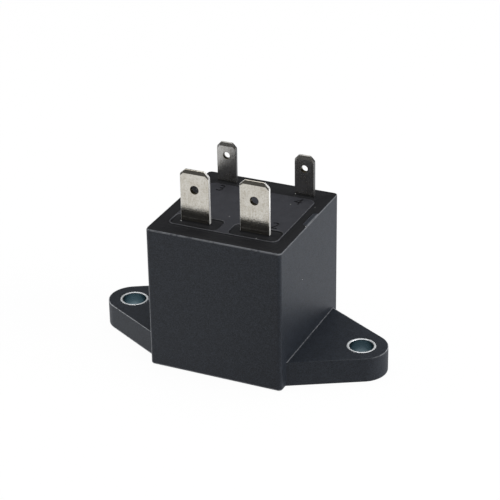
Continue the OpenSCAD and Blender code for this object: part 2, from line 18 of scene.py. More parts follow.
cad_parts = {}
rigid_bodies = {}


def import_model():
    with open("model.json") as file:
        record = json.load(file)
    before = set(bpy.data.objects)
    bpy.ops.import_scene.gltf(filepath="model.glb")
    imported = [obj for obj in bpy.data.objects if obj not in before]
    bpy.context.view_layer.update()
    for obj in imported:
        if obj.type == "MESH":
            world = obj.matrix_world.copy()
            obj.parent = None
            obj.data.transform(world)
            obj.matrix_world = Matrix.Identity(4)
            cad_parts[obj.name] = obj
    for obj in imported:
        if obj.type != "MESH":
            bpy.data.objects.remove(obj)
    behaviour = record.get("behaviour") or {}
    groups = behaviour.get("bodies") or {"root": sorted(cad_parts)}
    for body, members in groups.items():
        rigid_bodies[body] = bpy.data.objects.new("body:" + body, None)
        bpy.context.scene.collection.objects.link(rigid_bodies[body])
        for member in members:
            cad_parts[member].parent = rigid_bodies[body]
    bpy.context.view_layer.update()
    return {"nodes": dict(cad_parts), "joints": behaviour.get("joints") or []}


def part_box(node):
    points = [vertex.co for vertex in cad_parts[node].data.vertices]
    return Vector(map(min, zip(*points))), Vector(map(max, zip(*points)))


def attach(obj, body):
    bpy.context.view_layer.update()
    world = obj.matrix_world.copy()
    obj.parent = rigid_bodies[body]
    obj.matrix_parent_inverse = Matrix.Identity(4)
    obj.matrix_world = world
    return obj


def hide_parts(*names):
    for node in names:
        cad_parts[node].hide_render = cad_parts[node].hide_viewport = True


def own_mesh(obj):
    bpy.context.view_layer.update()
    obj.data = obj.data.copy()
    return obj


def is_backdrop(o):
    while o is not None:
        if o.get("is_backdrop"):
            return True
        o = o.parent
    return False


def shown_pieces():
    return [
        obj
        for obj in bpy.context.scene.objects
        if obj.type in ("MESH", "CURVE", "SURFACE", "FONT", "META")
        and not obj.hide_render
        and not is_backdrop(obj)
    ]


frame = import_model()

log = logging.getLogger("contactor")

Colour = tuple[float, float, float, float]
Place = tuple[float, float, float]
Shape = bmesh.types.BMesh
Face = bpy.types.MeshPolygon
Socket = bpy.types.NodeSocket
# What a node's input takes: a socket to link from, or a plain value
Input = object
# A shared effect's inputs that are places. The others are single values
PLACES = ("Place", "Stretched")
# Where a Mix node has its two values and its two colours, and where it puts the mixed colour
MIX_VALUES = (2, 3)
MIX_COLOURS = (6, 7)
MIXED_COLOUR = 2

MM = 0.001
SIDE_NAMES = {-1: "left", 1: "right"}
SIDES = tuple(SIDE_NAMES)
UP = Vector((0.0, 0.0, 1.0))
WHITE = (1.0, 1.0, 1.0, 1.0)
# Clearance that the frame leaves between pieces that stay together
SEAT_GAP = 0.02
# How much smaller than the frame's the sleeves are, on the radius
SLEEVE_SHY = 0.25
# How far a cutting shape reaches past what it cuts
THROUGH = 1.0
# Places this near count as one, and corners this near are merged
CLOSE = 0.01
MERGED = 1e-4
# An edge turns by more than this where it is softened
SOFT_TURN = math.radians(25)
# Bevel weights are shares of this width
WIDEST = 1.0
# Degrees from which an edge shades as a sharp one. A tab's tip turns by more than BLADE_TURN where it
# is thinned, and the flats round its hole turn by less
CRISP_TURN = 28.0
BLADE_TURN = 8.5
RESIN_TURN = 50.0


class Slot(Enum):
    """The record's material slots, by name; the new pieces take their finishes from the palette."""

    CASE = "case_plastic"
    BASE = "base_plastic"
    RESIN = "resin"
    TIN = "tinned_tab"
    ZINC = "zinc_sleeve"
    SPRING = "spring_steel"


class Line(Enum):
    """How a metal's tool marks run, as the position's factors: ROUND_Z keeps the plan alone."""

    ALONG_X = (0.06, 1.0, 1.0)
    ALONG_Z = (1.0, 1.0, 0.06)
    ROUND_Z = (1.0, 1.0, 0.0)


def paint(code: str) -> Colour:
    """Gives the linear colour of a screen colour.

    Args:
        code: The colour's red, green and blue as three hexadecimal pairs.

    Returns:
        Its linear red, green and blue, and full opacity.
    """
    parts = [int(code[i : i + 2], 16) / 255 for i in (0, 2, 4)]
    red, green, blue = (c / 12.92 if c <= 0.04045 else ((c + 0.055) / 1.055) ** 2.4 for c in parts)
    return (red, green, blue, 1.0)


@dataclass(frozen=True)
class Extent:
    """The box that something fills."""

    low: Vector
    high: Vector

    @classmethod
    def of(cls, node: str) -> "Extent":
        """Reads a node's box at rest from the frame."""
        low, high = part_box(node)
        return cls(low / MM, high / MM)

    @classmethod
    def around(cls, half: Vector, bottom: float, top: float) -> "Extent":
        """Makes a box round the upright axis, from half its width and depth."""
        return cls(bottom * UP - half, top * UP + half)

    @property
    def size(self) -> Vector:
        """Length of each side."""
        return self.high - self.low

    @property
    def centre(self) -> Vector:
        """Middle of the box."""
        return (self.low + self.high) / 2

    def grown(self, sideways: float, upright: float) -> "Extent":
        """Grows the box at each side by one amount, and above and below by another."""
        room = Vector((sideways, sideways, upright))
        return Extent(self.low - room, self.high + room)

    def up_to(self, top: float) -> "Extent":
        """Gives the same box with its top at another height."""
        return Extent(self.low, Vector((self.high.x, self.high.y, top)))


def emptied(owner: bpy.types.Material | bpy.types.World) -> bpy.types.NodeTree:
    """Gives a material or a world an empty node tree.

    Args:
        owner: The material or the world.

    Returns:
        Its tree.
    """
    owner.use_nodes = True
    owner.node_tree.nodes.clear()
    return owner.node_tree


class Board:
    """A shader node tree under construction."""

    def __init__(self, tree: bpy.types.NodeTree) -> None:
        """Starts on the tree that the nodes go into."""
        self.tree = tree

    def add(
        self, kind: str, inputs: dict[str | int, Input] | None = None, **settings: Input
    ) -> bpy.types.Node:
        """Adds one node, sets it and feeds its sockets.

        Args:
            kind: The node's type.
            inputs: What each input takes.
            **settings: The node's own settings.

        Returns:
            The new node.
        """
        node = self.tree.nodes.new(kind)
        for name, value in settings.items():
            setattr(node, name, value)
        for key, value in (inputs or {}).items():
            self.feed(node.inputs[key], value)
        return node

    def feed(self, socket: Socket, value: Input) -> None:
        """Links a socket to another, or sets its value.

        Args:
            socket: The input to feed.
            value: A socket, or a plain value.
        """
        if isinstance(value, Socket):
            self.tree.links.new(value, socket)
        else:
            socket.default_value = value

    def maths(self, operation: str, first: Input, second: Input = 0.0) -> Socket:
        """Works out one operation on two values."""
        return self.add("ShaderNodeMath", {0: first, 1: second}, operation=operation).outputs[0]

    def plus(self, first: Input, second: Input) -> Socket:
        """Adds two values."""
        return self.maths("ADD", first, second)

    def less(self, first: Input, second: Input) -> Socket:
        """Takes the second value from the first."""
        return self.maths("SUBTRACT", first, second)

    def times(self, first: Input, second: Input) -> Socket:
        """Multiplies two values."""
        return self.maths("MULTIPLY", first, second)

    def stretched(self, vector: Input, factors: Place) -> Socket:
        """Multiplies a vector, axis by axis."""
        return self.add("ShaderNodeVectorMath", {0: vector, 1: factors}, operation="MULTIPLY").outputs[0]

    def scaled(self, vector: Input, factor: Input) -> Socket:
        """Multiplies a vector or a colour by one factor."""
        return self.add("ShaderNodeVectorMath", {0: vector, "Scale": factor}, operation="SCALE").outputs[0]

    def distance(self, place: Input, start: Input = (0.0, 0.0, 0.0)) -> Socket:
        """Measures how far a place is from another, or from the origin."""
        return self.add("ShaderNodeVectorMath", {0: place, 1: start}, operation="DISTANCE").outputs["Value"]

    def noise(self, vector: Input, scale: Input, detail: float = 2.0, rough: float = 0.5) -> Socket:
        """Adds a noise about 0.5, with scale features in a millimetre and detail finer layers."""
        inputs = {"Vector": vector, "Scale": scale, "Detail": detail, "Roughness": rough}
        return self.add("ShaderNodeTexNoise", inputs).outputs["Fac"]

    def between(self, value: Input, low: Input, high: Input) -> Socket:
        """Makes a mask that rises smoothly from 0 where a value is low to 1 where it is high."""
        inputs = {"Value": value, "From Min": low, "From Max": high}
        return self.add("ShaderNodeMapRange", inputs, interpolation_type="SMOOTHSTEP").outputs["Result"]

    def blend(self, share: Input, first: Input, second: Input) -> Socket:
        """Mixes two colours, with the given share of the second."""
        inputs = {0: share, MIX_COLOURS[0]: first, MIX_COLOURS[1]: second}
        return self.add("ShaderNodeMix", inputs, data_type="RGBA").outputs[MIXED_COLOUR]

    def mix(self, share: Input, first: Input, second: Input) -> Socket:
        """Mixes two values, with the given share of the second."""
        inputs = {0: share, MIX_VALUES[0]: first, MIX_VALUES[1]: second}
        return self.add("ShaderNodeMix", inputs, data_type="FLOAT").outputs[0]

    def marked(self, name: str) -> Socket:
        """Reads how strongly a face has a mark."""
        return self.add("ShaderNodeAttribute", attribute_name=name).outputs["Fac"]

    def effect(
        self, wire: Callable[["Board", bpy.types.NodeOutputs], dict[str, Socket]], **inputs: Input
    ) -> bpy.types.NodeOutputs:
        """Places an effect that several finishes share, whose node group is built at its first use.

        Args:
            wire: Wires the group from its inputs, and gives its outputs by name.
            **inputs: What the group's inputs take.

        Returns:
            The placed group's outputs.
        """
        tree = bpy.data.node_groups.get(wire.__name__)
        if tree is None:
            tree = bpy.data.node_groups.new(wire.__name__, "ShaderNodeTree")
            group = Board(tree)
            for name in inputs:
                kind = "NodeSocketVector" if name in PLACES else "NodeSocketFloat"
                tree.interface.new_socket(name, in_out="INPUT", socket_type=kind)
            results = wire(group, group.add("NodeGroupInput").outputs)
            for name in results:
                tree.interface.new_socket(name, in_out="OUTPUT", socket_type="NodeSocketFloat")
            group.add("NodeGroupOutput", results)
        return self.add("ShaderNodeGroup", inputs, node_tree=tree).outputs


def moulded_grain(board: Board, takes: bpy.types.NodeOutputs) -> dict[str, Socket]:
    """Wires the spark-eroded grain of a moulded surface.

    Args:
        board: The group's tree.
        takes: Its Place and Fineness.

    Returns:
        A fine Height, a Fleck of lighter points and a soft, wide Tone.
    """
    place, fineness = takes["Place"], takes["Fineness"]
    fine = board.noise(place, fineness, detail=3.0, rough=0.6)
    coarse = board.noise(place, board.times(fineness, 0.34))
    points = board.noise(place, board.times(fineness, 1.15), detail=5.0, rough=0.75)
    wide = board.noise(place, board.times(fineness, 0.11), detail=4.0, rough=0.62)
    return {
        "Height": board.plus(board.times(fine, 0.7), board.times(coarse, 0.5)),
        "Fleck": board.between(points, 0.33, 0.67),
        "Tone": board.between(wide, 0.3, 0.7),
    }


def scattered_specks(board: Board, takes: bpy.types.NodeOutputs) -> dict[str, Socket]:
    """Wires a scatter of small round specks of uneven size, one at most in each cell.

    Args:
        board: The group's tree.
        takes: Its Place, Spacing, Radius and Share.

    Returns:
        The specks' Mask.
    """
    spacing = takes["Spacing"]
    inputs = {"Vector": takes["Place"], "Scale": board.maths("DIVIDE", 1.0, spacing)}
    cells = board.add("ShaderNodeTexVoronoi", inputs).outputs
    luck = board.add("ShaderNodeSeparateColor", {0: cells["Color"]}).outputs
    radius = board.times(takes["Radius"], board.plus(luck[1], 0.5))
    inside = board.between(board.times(cells["Distance"], spacing), radius, board.times(radius, 0.6))
    return {"Mask": board.times(inside, board.maths("LESS_THAN", luck[0], takes["Share"]))}


def rubbed_edges(board: Board, takes: bpy.types.NodeOutputs) -> dict[str, Socket]:
    """Wires the broken light line on a softened edge: partly rubbed wear, partly a painted highlight.

    Args:
        board: The group's tree.
        takes: Its Place and Amount.

    Returns:
        The line's Mask.
    """
    patchy = board.noise(takes["Place"], 0.9, detail=4.0, rough=0.7)
    shown = board.between(board.plus(patchy, takes["Amount"]), 0.75, 1.05)
    return {"Mask": board.times(board.marked("rub"), shown)}


def tool_lines(board: Board, takes: bpy.types.NodeOutputs) -> dict[str, Socket]:
    """Wires the lines that rolling, drawing or turning leaves on a metal.

    Args:
        board: The group's tree.
        takes: Its Place, the same place Stretched along the lines, and Fineness.

    Returns:
        The lines' Height and a wide, soft Tone.
    """
    wide = board.noise(takes["Place"], 0.45, detail=3.0, rough=0.6)
    height = board.noise(takes["Stretched"], takes["Fineness"], detail=3.0, rough=0.65)
    return {"Height": height, "Tone": board.between(wide, 0.32, 0.72)}


class Coat(Board):
    """A material under construction, with its surface shader and the place on the piece."""

    def __init__(self, name: str, colour: Colour, roughness: float) -> None:
        """Starts a material.

        Args:
            name: The material's name.
            colour: Its colour.
            roughness: Its roughness.
        """
        self.material = bpy.data.materials.new(name)
        super().__init__(emptied(self.material))
        self.shader = self.add("ShaderNodeBsdfPrincipled", {"Base Color": colour, "Roughness": roughness})
        self.add("ShaderNodeOutputMaterial", {"Surface": self.shader.outputs[0]})
        self.place = self.scaled(self.add("ShaderNodeTexCoord").outputs["Object"], 1 / MM)

    @property
    def height(self) -> Socket:
        """How high a place on the piece is."""
        return self.add("ShaderNodeSeparateXYZ", {0: self.place}).outputs[2]

    def give(self, **values: Input) -> None:
        """Feeds the surface shader's inputs, whose names have underscores for spaces here."""
        for name, value in values.items():
            self.feed(self.shader.inputs[name.replace("_", " ")], value)

    def emboss(self, height: Input, depth: float) -> None:
        """Feeds the surface's normal from a height, of which 1 is depth millimetres."""
        inputs = {"Strength": 1.0, "Distance": depth * MM, "Height": height}
        self.give(Normal=self.add("ShaderNodeBump", inputs).outputs["Normal"])


@dataclass(frozen=True)
class Dust:
    """Small pale specks that have settled on a surface, and single white spots at known places: bits of
    lint, and on the resin painted glints at the tabs' feet and the rim.
    """

    share: float
    spacing: float = 2.6
    radius: float = 0.05
    colour: Colour = paint("9a9b98")
    lint: tuple[Place, ...] = ()
    lint_r: float = 0.1
    lint_colour: Colour = paint("f4f4f2")

    def settle(self, coat: Coat, body: Socket) -> Socket:
        """Lays the dust, the lint and the painted glints on a surface.

        Args:
            coat: The material under construction.
            body: The surface's colour.

        Returns:
            The dusty colour's socket.
        """
        specks = coat.effect(
            scattered_specks, Place=coat.place, Spacing=self.spacing, Radius=self.radius, Share=self.share
        )
        body = coat.blend(specks["Mask"], body, self.colour)
        for spot in self.lint:
            mask = coat.between(coat.distance(coat.place, spot), self.lint_r, self.lint_r / 2)
            body = coat.blend(mask, body, self.lint_colour)
        return body


@dataclass(frozen=True)
class Finish:
    """What every finish has: a name, a colour and a roughness."""

    name: str
    colour: Colour
    roughness: float

    def material(self) -> bpy.types.Material:
        """Finds the finish's material, or builds it at its first use.

        Returns:
            The material.
        """
        known = bpy.data.materials.get(self.name)
        if known is not None:
            return known
        coat = Coat(self.name, self.colour, self.roughness)
        self.dress(coat)
        return coat.material

    def dress(self, coat: Coat) -> None:
        """Adds what makes this finish itself to the material under construction."""
        raise NotImplementedError


@dataclass(frozen=True)
class Moulding(Finish):
    """A moulded plastic: flecked grain, faint mottling, rubbed edges with a painted highlight, painted shade
    in sunk faces and a little dust.
    """

    mottle: Colour = (0.02, 0.02, 0.02, 1.0)
    # Rubbed colour: a pale painted highlight on softened edges, along with some wear
    rubbed: Colour = (0.1, 0.1, 0.1, 1.0)
    # Painted shade on the floors of sunk faces
    sunk: Colour = (0.01, 0.01, 0.012, 1.0)
    rub: float = 0.4
    fineness: float = 5.0
    depth: float = 0.01
    fleck: float = 0.0
    ior: float = 1.5
    uneven: float = 0.04
    smoothed: float = 0.18
    dust: Dust = Dust(0.0)

    def dress(self, coat: Coat) -> None:
        """Adds the grain, the rubbed edges with their painted highlight, the painted shade in sunk faces and
        the dust.

        Args:
            coat: The material under construction.
        """
        grain = coat.effect(moulded_grain, Place=coat.place, Fineness=self.fineness)
        rubbed = coat.effect(rubbed_edges, Place=coat.place, Amount=self.rub)["Mask"]
        mottled = coat.blend(grain["Tone"], self.colour, self.mottle)
        share = coat.plus(coat.times(coat.less(grain["Fleck"], 0.5), 2.0 * self.fleck), 1.0)
        edged = coat.blend(rubbed, coat.scaled(mottled, share), self.rubbed)
        # Painted shade in the sunk numbers
        shaded_in_numbers = coat.blend(coat.marked("sunk"), edged, self.sunk)
        rough = coat.plus(coat.times(grain["Tone"], self.uneven), self.roughness - self.uneven / 2)
        coat.give(
            Base_Color=self.dust.settle(coat, shaded_in_numbers),
            Roughness=coat.less(rough, coat.times(coat.marked("rub"), self.smoothed)),
            IOR=self.ior,
        )
        coat.emboss(grain["Height"], self.depth)


@dataclass(frozen=True)
class CastResin(Finish):
    """Potting that was poured and has set, with slow waves, hazy patches and settled dust."""

    hazed: Colour = paint("111216")
    uneven: float = 0.1
    ior: float = 1.38
    wave: float = 0.02
    dust: Dust = Dust(0.0)

    def dress(self, coat: Coat) -> None:
        """Adds the waves, the haze and the dust.

        Args:
            coat: The material under construction.
        """
        haze = coat.between(coat.noise(coat.place, 1.1, detail=4.0, rough=0.65), 0.42, 0.72)
        coat.give(
            Base_Color=self.dust.settle(coat, coat.blend(haze, self.colour, self.hazed)),
            Roughness=coat.plus(coat.times(haze, self.uneven), self.roughness),
            IOR=self.ior,
        )
        coat.emboss(coat.noise(coat.place, 0.42), self.wave)


@dataclass(frozen=True)
class Metal(Finish):
    """A metal with its tool lines, cloudy tone, stains, pits and speckle.

    Where a face is marked as sheared it takes the sheared colour, a near-white painted highlight on the tin
    and the zinc, and where it is marked as pierced it takes a painted shade.
    """

    stain: Colour = (0.4, 0.38, 0.34, 1.0)
    stain_share: float = 0.4
    line: Line = Line.ALONG_Z
    line_depth: float = 0.002
    fineness: float = 8.0
    pit_share: float = 0.2
    pit_radius: float = 0.05
    pit_spacing: float = 0.55
    pit_tone: float = 0.22
    pit_depth: float = 2.0
    uneven: float = 0.06
    dimple: float = 0.0
    speckle: float = 0.0
    # Sheared colour: a near-white painted highlight, unless a finish gives another
    sheared: Colour = (0.98, 0.97, 0.94, 1.0)
    sheared_rough: float = 0.14
    sheared_diffuse: float = 0.7
    # Painted shade in a bore, on its wall and rim
    pierced: Colour = (0.09, 0.075, 0.045, 1.0)

    def stretched(self, coat: Coat) -> Socket:
        """Stretches the place along the tool lines, or for lines round Z gives its radius and height.

        Args:
            coat: The material under construction.

        Returns:
            The stretched place's socket.
        """
        stretched = coat.stretched(coat.place, self.line.value)
        if self.line is Line.ROUND_Z:
            inputs = {0: coat.distance(stretched), 2: coat.height}
            stretched = coat.add("ShaderNodeCombineXYZ", inputs).outputs[0]
        return stretched

    def toned(self, coat: Coat, streaky: Socket, pits: Socket) -> Socket:
        """Mixes the metal's colour with its stains, its speckle and its pits.

        Args:
            coat: The material under construction.
            streaky: How strongly a place is stained.
            pits: The pits' mask.

        Returns:
            The colour's socket.
        """
        body = coat.blend(coat.times(streaky, self.stain_share), self.colour, self.stain)
        if self.speckle:
            spots = coat.between(coat.noise(coat.place, 2.6, detail=5.0, rough=0.8), 0.47, 0.66)
            body = coat.blend(coat.times(spots, self.speckle), body, self.stain)
        dark = tuple(c * self.pit_tone for c in self.stain[:3]) + (1.0,)
        return coat.blend(pits, body, dark)

    def dress(self, coat: Coat) -> None:
        """Adds the lines, the stains, the pits, the sheared faces' colour, mostly a painted highlight, and
        the painted shade in bores.

        Args:
            coat: The material under construction.
        """
        place, sheared = coat.place, coat.marked("sheared")
        lines = coat.effect(tool_lines, Place=place, Stretched=self.stretched(coat), Fineness=self.fineness)
        pits = coat.effect(
            scattered_specks, Place=place, Spacing=self.pit_spacing, Radius=self.pit_radius,
            Share=self.pit_share,
        )["Mask"]
        streaky = coat.times(lines["Tone"], coat.between(lines["Height"], 0.25, 0.75))
        rolled = coat.blend(sheared, self.toned(coat, streaky, pits), self.sheared)
        rough = coat.plus(coat.times(streaky, self.uneven), self.roughness)
        coat.give(
            Base_Color=coat.blend(coat.marked("pierced"), rolled, self.pierced),
            Roughness=coat.maths("MAXIMUM", rough, coat.times(sheared, self.sheared_rough)),
            Metallic=coat.less(1.0, coat.times(sheared, self.sheared_diffuse)),
        )
        relief = coat.less(lines["Height"], coat.times(pits, self.pit_depth))
        if self.dimple:
            dimples = coat.noise(place, 2.6, detail=4.0, rough=0.7)
            relief = coat.plus(relief, coat.times(dimples, self.dimple))
        coat.emboss(relief, self.line_depth)


@dataclass(frozen=True)
class WoundWire(Finish):
    """Enamelled copper wire, wound in close turns round Z."""

    pitch: float = 0.2
    # Painted shade between the turns
    groove: Colour = paint("3a1a10")
    darker: Colour = paint("8a3c1c")

    def dress(self, coat: Coat) -> None:
        """Adds a ridge for each turn with painted shade in the grooves between turns, and the enamel's own
        gloss.

        Args:
            coat: The material under construction.
        """
        turn = coat.maths("PINGPONG", coat.height, self.pitch / 2)
        ridge = coat.maths("POWER", coat.maths("DIVIDE", turn, self.pitch / 2), 0.5)
        tone = coat.between(coat.noise(coat.place, 0.6, detail=3.0), 0.3, 0.7)
        body = coat.blend(tone, self.colour, self.darker)
        coat.give(
            Base_Color=coat.blend(ridge, self.groove, body), Metallic=0.7, Coat_Weight=0.6,
            Coat_Roughness=0.15,
        )
        coat.emboss(ridge, self.pitch / 2)


@dataclass(frozen=True)
class WoundTape(Finish):
    """Amber film tape, wrapped in overlapping turns."""

    width: float = 2.8
    depth: float = 0.04
    lapped: Colour = paint("8f6d18")

    def dress(self, coat: Coat) -> None:
        """Adds the tape's lapped edges and a few wrinkles.

        Args:
            coat: The material under construction.
        """
        lap = coat.maths("FRACT", coat.maths("DIVIDE", coat.height, self.width))
        wrinkle = coat.noise(coat.stretched(coat.place, (1.0, 1.0, 0.25)), 0.9, detail=3.0)
        body = coat.blend(coat.between(lap, 0.82, 0.9), self.colour, self.lapped)
        coat.give(Base_Color=body, Coat_Weight=0.4)
        coat.emboss(coat.plus(lap, wrinkle), self.depth)


class Palette:
    """The finishes of the contactor's pieces."""

    # The case's and the panel's pale rubbed colours are mostly painted highlight along their edges
    case = Moulding(
        "black_case_moulding", paint("1f242c"), 0.5, mottle=paint("232830"), rubbed=paint("b0b2b6"),
        rub=0.5, fineness=4.9, depth=0.015, fleck=0.9, ior=1.46,
        dust=Dust(0.1, lint=((14.65, -3.98, 20.19),)),
    )
    panel = Moulding(
        "grey_base_moulding", paint("2a2b31"), 0.5, mottle=paint("303137"), rubbed=paint("5c5d61"),
        rub=0.5, fineness=5.5, depth=0.012, fleck=0.3, ior=1.46,
        dust=Dust(0.25, lint=((-1.41, -3.65, 31.1), (7.75, 6.23, 31.1))),
    )
    # The resin's white spots at listed places are painted glints at the tabs' feet and on the rim
    resin = CastResin("black_potting_resin", paint("0a0b10"), 0.6, dust=Dust(
        0.3, spacing=1.5, colour=paint("8f908e"), lint_r=0.13, lint=(
            (6.8, 10.98, 31.3), (11.32, 10.98, 31.3), (12.71, 7.25, 30.82), (14.5, -1.87, 31.05),
            (5.72, -8.69, 30.75), (7.26, -9.91, 30.78), (-9.6, -9.05, 31.1), (-8.41, -7.67, 30.8),
        ),
    ))
    # The tin's near-white sheared colour is a painted highlight on the load tabs' edges
    tin = Metal(
        "tin_plate", paint("dcd7cb"), 0.12, stain=paint("a59a86"), stain_share=0.55, line_depth=0.001,
        fineness=6.0, pit_share=0.5, pit_radius=0.07, pit_spacing=0.5, dimple=15.0, speckle=0.5,
    )
    dull_tin = Metal(
        "dull_tin_plate", paint("cdcbc6"), 0.24, stain=paint("9a9384"), stain_share=0.6, line_depth=0.001,
        fineness=3.0, pit_share=0.35, pit_radius=0.06, pit_spacing=0.6, dimple=8.0, speckle=0.5,
        sheared=paint("4a4a4a"), sheared_rough=0.3,
    )
    # The zinc's sheared colour is a painted highlight on the sleeves' ends, and its pierced colour a bluish
    # painted shade in the bores
    zinc = Metal(
        "zinc_plate", paint("e4e9eb"), 0.22, stain=paint("8fa0a8"), line=Line.ROUND_Z, line_depth=0.003,
        fineness=5.0, pit_spacing=0.7, sheared=paint("f0f3f5"), sheared_rough=0.22, pierced=paint("82949a"),
    )
    silver = Metal("silver_contact", paint("dcd9d0"), 0.28, stain=paint("9d978a"), line=Line.ROUND_Z)
    copper = Metal("rolled_copper", paint("c77a48"), 0.3, stain=paint("7c4527"), line=Line.ALONG_X)
    brass = Metal("drawn_brass", paint("d3b25c"), 0.27, stain=paint("927431"), line=Line.ALONG_Z)
    spring = Metal("spring_steel", paint("a4a8ab"), 0.3, stain=paint("6d7072"), line=Line.ROUND_Z)
    turned = Metal(
        "turned_steel", paint("a3a8ab"), 0.26, stain=paint("75797c"), line=Line.ROUND_Z, line_depth=0.006
    )
    iron = Metal(
        "soft_iron", paint("84888b"), 0.38, stain=paint("5a5c5c"), line=Line.ROUND_Z, line_depth=0.008
    )
    steel = Metal("pressed_steel", paint("96999b"), 0.34, stain=paint("6a6a68"), line=Line.ALONG_X)
    wire = WoundWire("enamelled_wire", paint("b5602f"), 0.3)
    tape = WoundTape("coil_tape", paint("c9a33a"), 0.25)
    bobbin = Moulding(
        "bobbin_moulding", paint("d6cfbb"), 0.45, mottle=paint("cbc3ad"), rubbed=paint("e6e1d2")
    )
    chamber = Moulding(
        "chamber_moulding", paint("cbc4b2"), 0.6, mottle=paint("b9b19d"), rubbed=paint("ded8c8")
    )
    ferrite = Moulding(
        "ferrite_magnet", paint("3f4043"), 0.55, mottle=paint("4d4e51"), rubbed=paint("6c6d70"), depth=0.02
    )
    rubber = Moulding("damper_rubber", paint("1d1d1e"), 0.75, mottle=paint("262627"), rubbed=paint("2f2f30"))


def link(name: str, data: bpy.types.ID | None) -> bpy.types.Object:
    """Makes an object of some data and links it to the scene.

    Args:
        name: The object's name.
        data: Its mesh, curve, lamp or camera.

    Returns:
        The object.
    """
    made = bpy.data.objects.new(name, data)
    bpy.context.scene.collection.objects.link(made)
    return made


def round_off(shape: Shape, geometry: list, radius: float, segments: int, affect: str = "EDGES") -> None:
    """Rounds some edges of a solid, or some corners of a flat outline.

    Args:
        shape: The solid or the outline.
        geometry: The edges or the corners.
        radius: The radius.
        segments: Flats round each of them.
        affect: EDGES or VERTICES.
    """
    bmesh.ops.bevel(
        shape, geom=geometry, offset=radius, offset_type="OFFSET", segments=segments, profile=0.5,
        affect=affect, material=-1,
    )


def block(box: Extent) -> Shape:
    """Makes a solid that fills a box.

    Args:
        box: The box.

    Returns:
        The solid.
    """
    shape = bmesh.new()
    bmesh.ops.create_cube(shape, size=1.0, matrix=Matrix.LocRotScale(box.centre, None, box.size))
    return shape


def rounded_block(box: Extent, radius: float, segments: int = 6) -> Shape:
    """Makes a solid that fills a box, with its upright edges rounded.

    Args:
        box: The box.
        radius: The upright edges' radius.
        segments: Flats round each of them.

    Returns:
        The solid.
    """
    shape = block(box)
    upright = [e for e in shape.edges if (e.verts[0].co - e.verts[1].co).xy.length < MERGED]
    round_off(shape, upright, radius, segments)
    return shape


def rod(start: Vector, end: Vector, radius: float, segments: int = 64) -> Shape:
    """Makes a round rod between two points.

    Args:
        start: The middle of one end.
        end: The middle of the other.
        radius: Its radius.
        segments: Flats round it.

    Returns:
        The rod.
    """
    shape = bmesh.new()
    axis = end - start
    place = Matrix.LocRotScale((start + end) / 2, axis.to_track_quat("Z", "Y"), None)
    bmesh.ops.create_cone(
        shape, cap_ends=True, segments=segments, radius1=radius, radius2=radius, depth=axis.length,
        matrix=place,
    )
    return shape


def chop(shape: Shape, point: Vector, outward: Vector) -> None:
    """Cuts a solid's corner or end off flat and closes it.

    Args:
        shape: The solid.
        point: A point on the cut.
        outward: The way towards what is cut off.
    """
    whole = [*shape.verts, *shape.edges, *shape.faces]
    cut = bmesh.ops.bisect_plane(
        shape, geom=whole, plane_co=point, plane_no=outward.normalized(), clear_outer=True
    )["geom_cut"]
    bmesh.ops.edgeloop_fill(shape, edges=[e for e in cut if isinstance(e, bmesh.types.BMEdge)])


@dataclass(frozen=True)
class Corner:
    """An edge at which two faces of a solid meet at an angle."""

    middle: Vector
    inward: bool


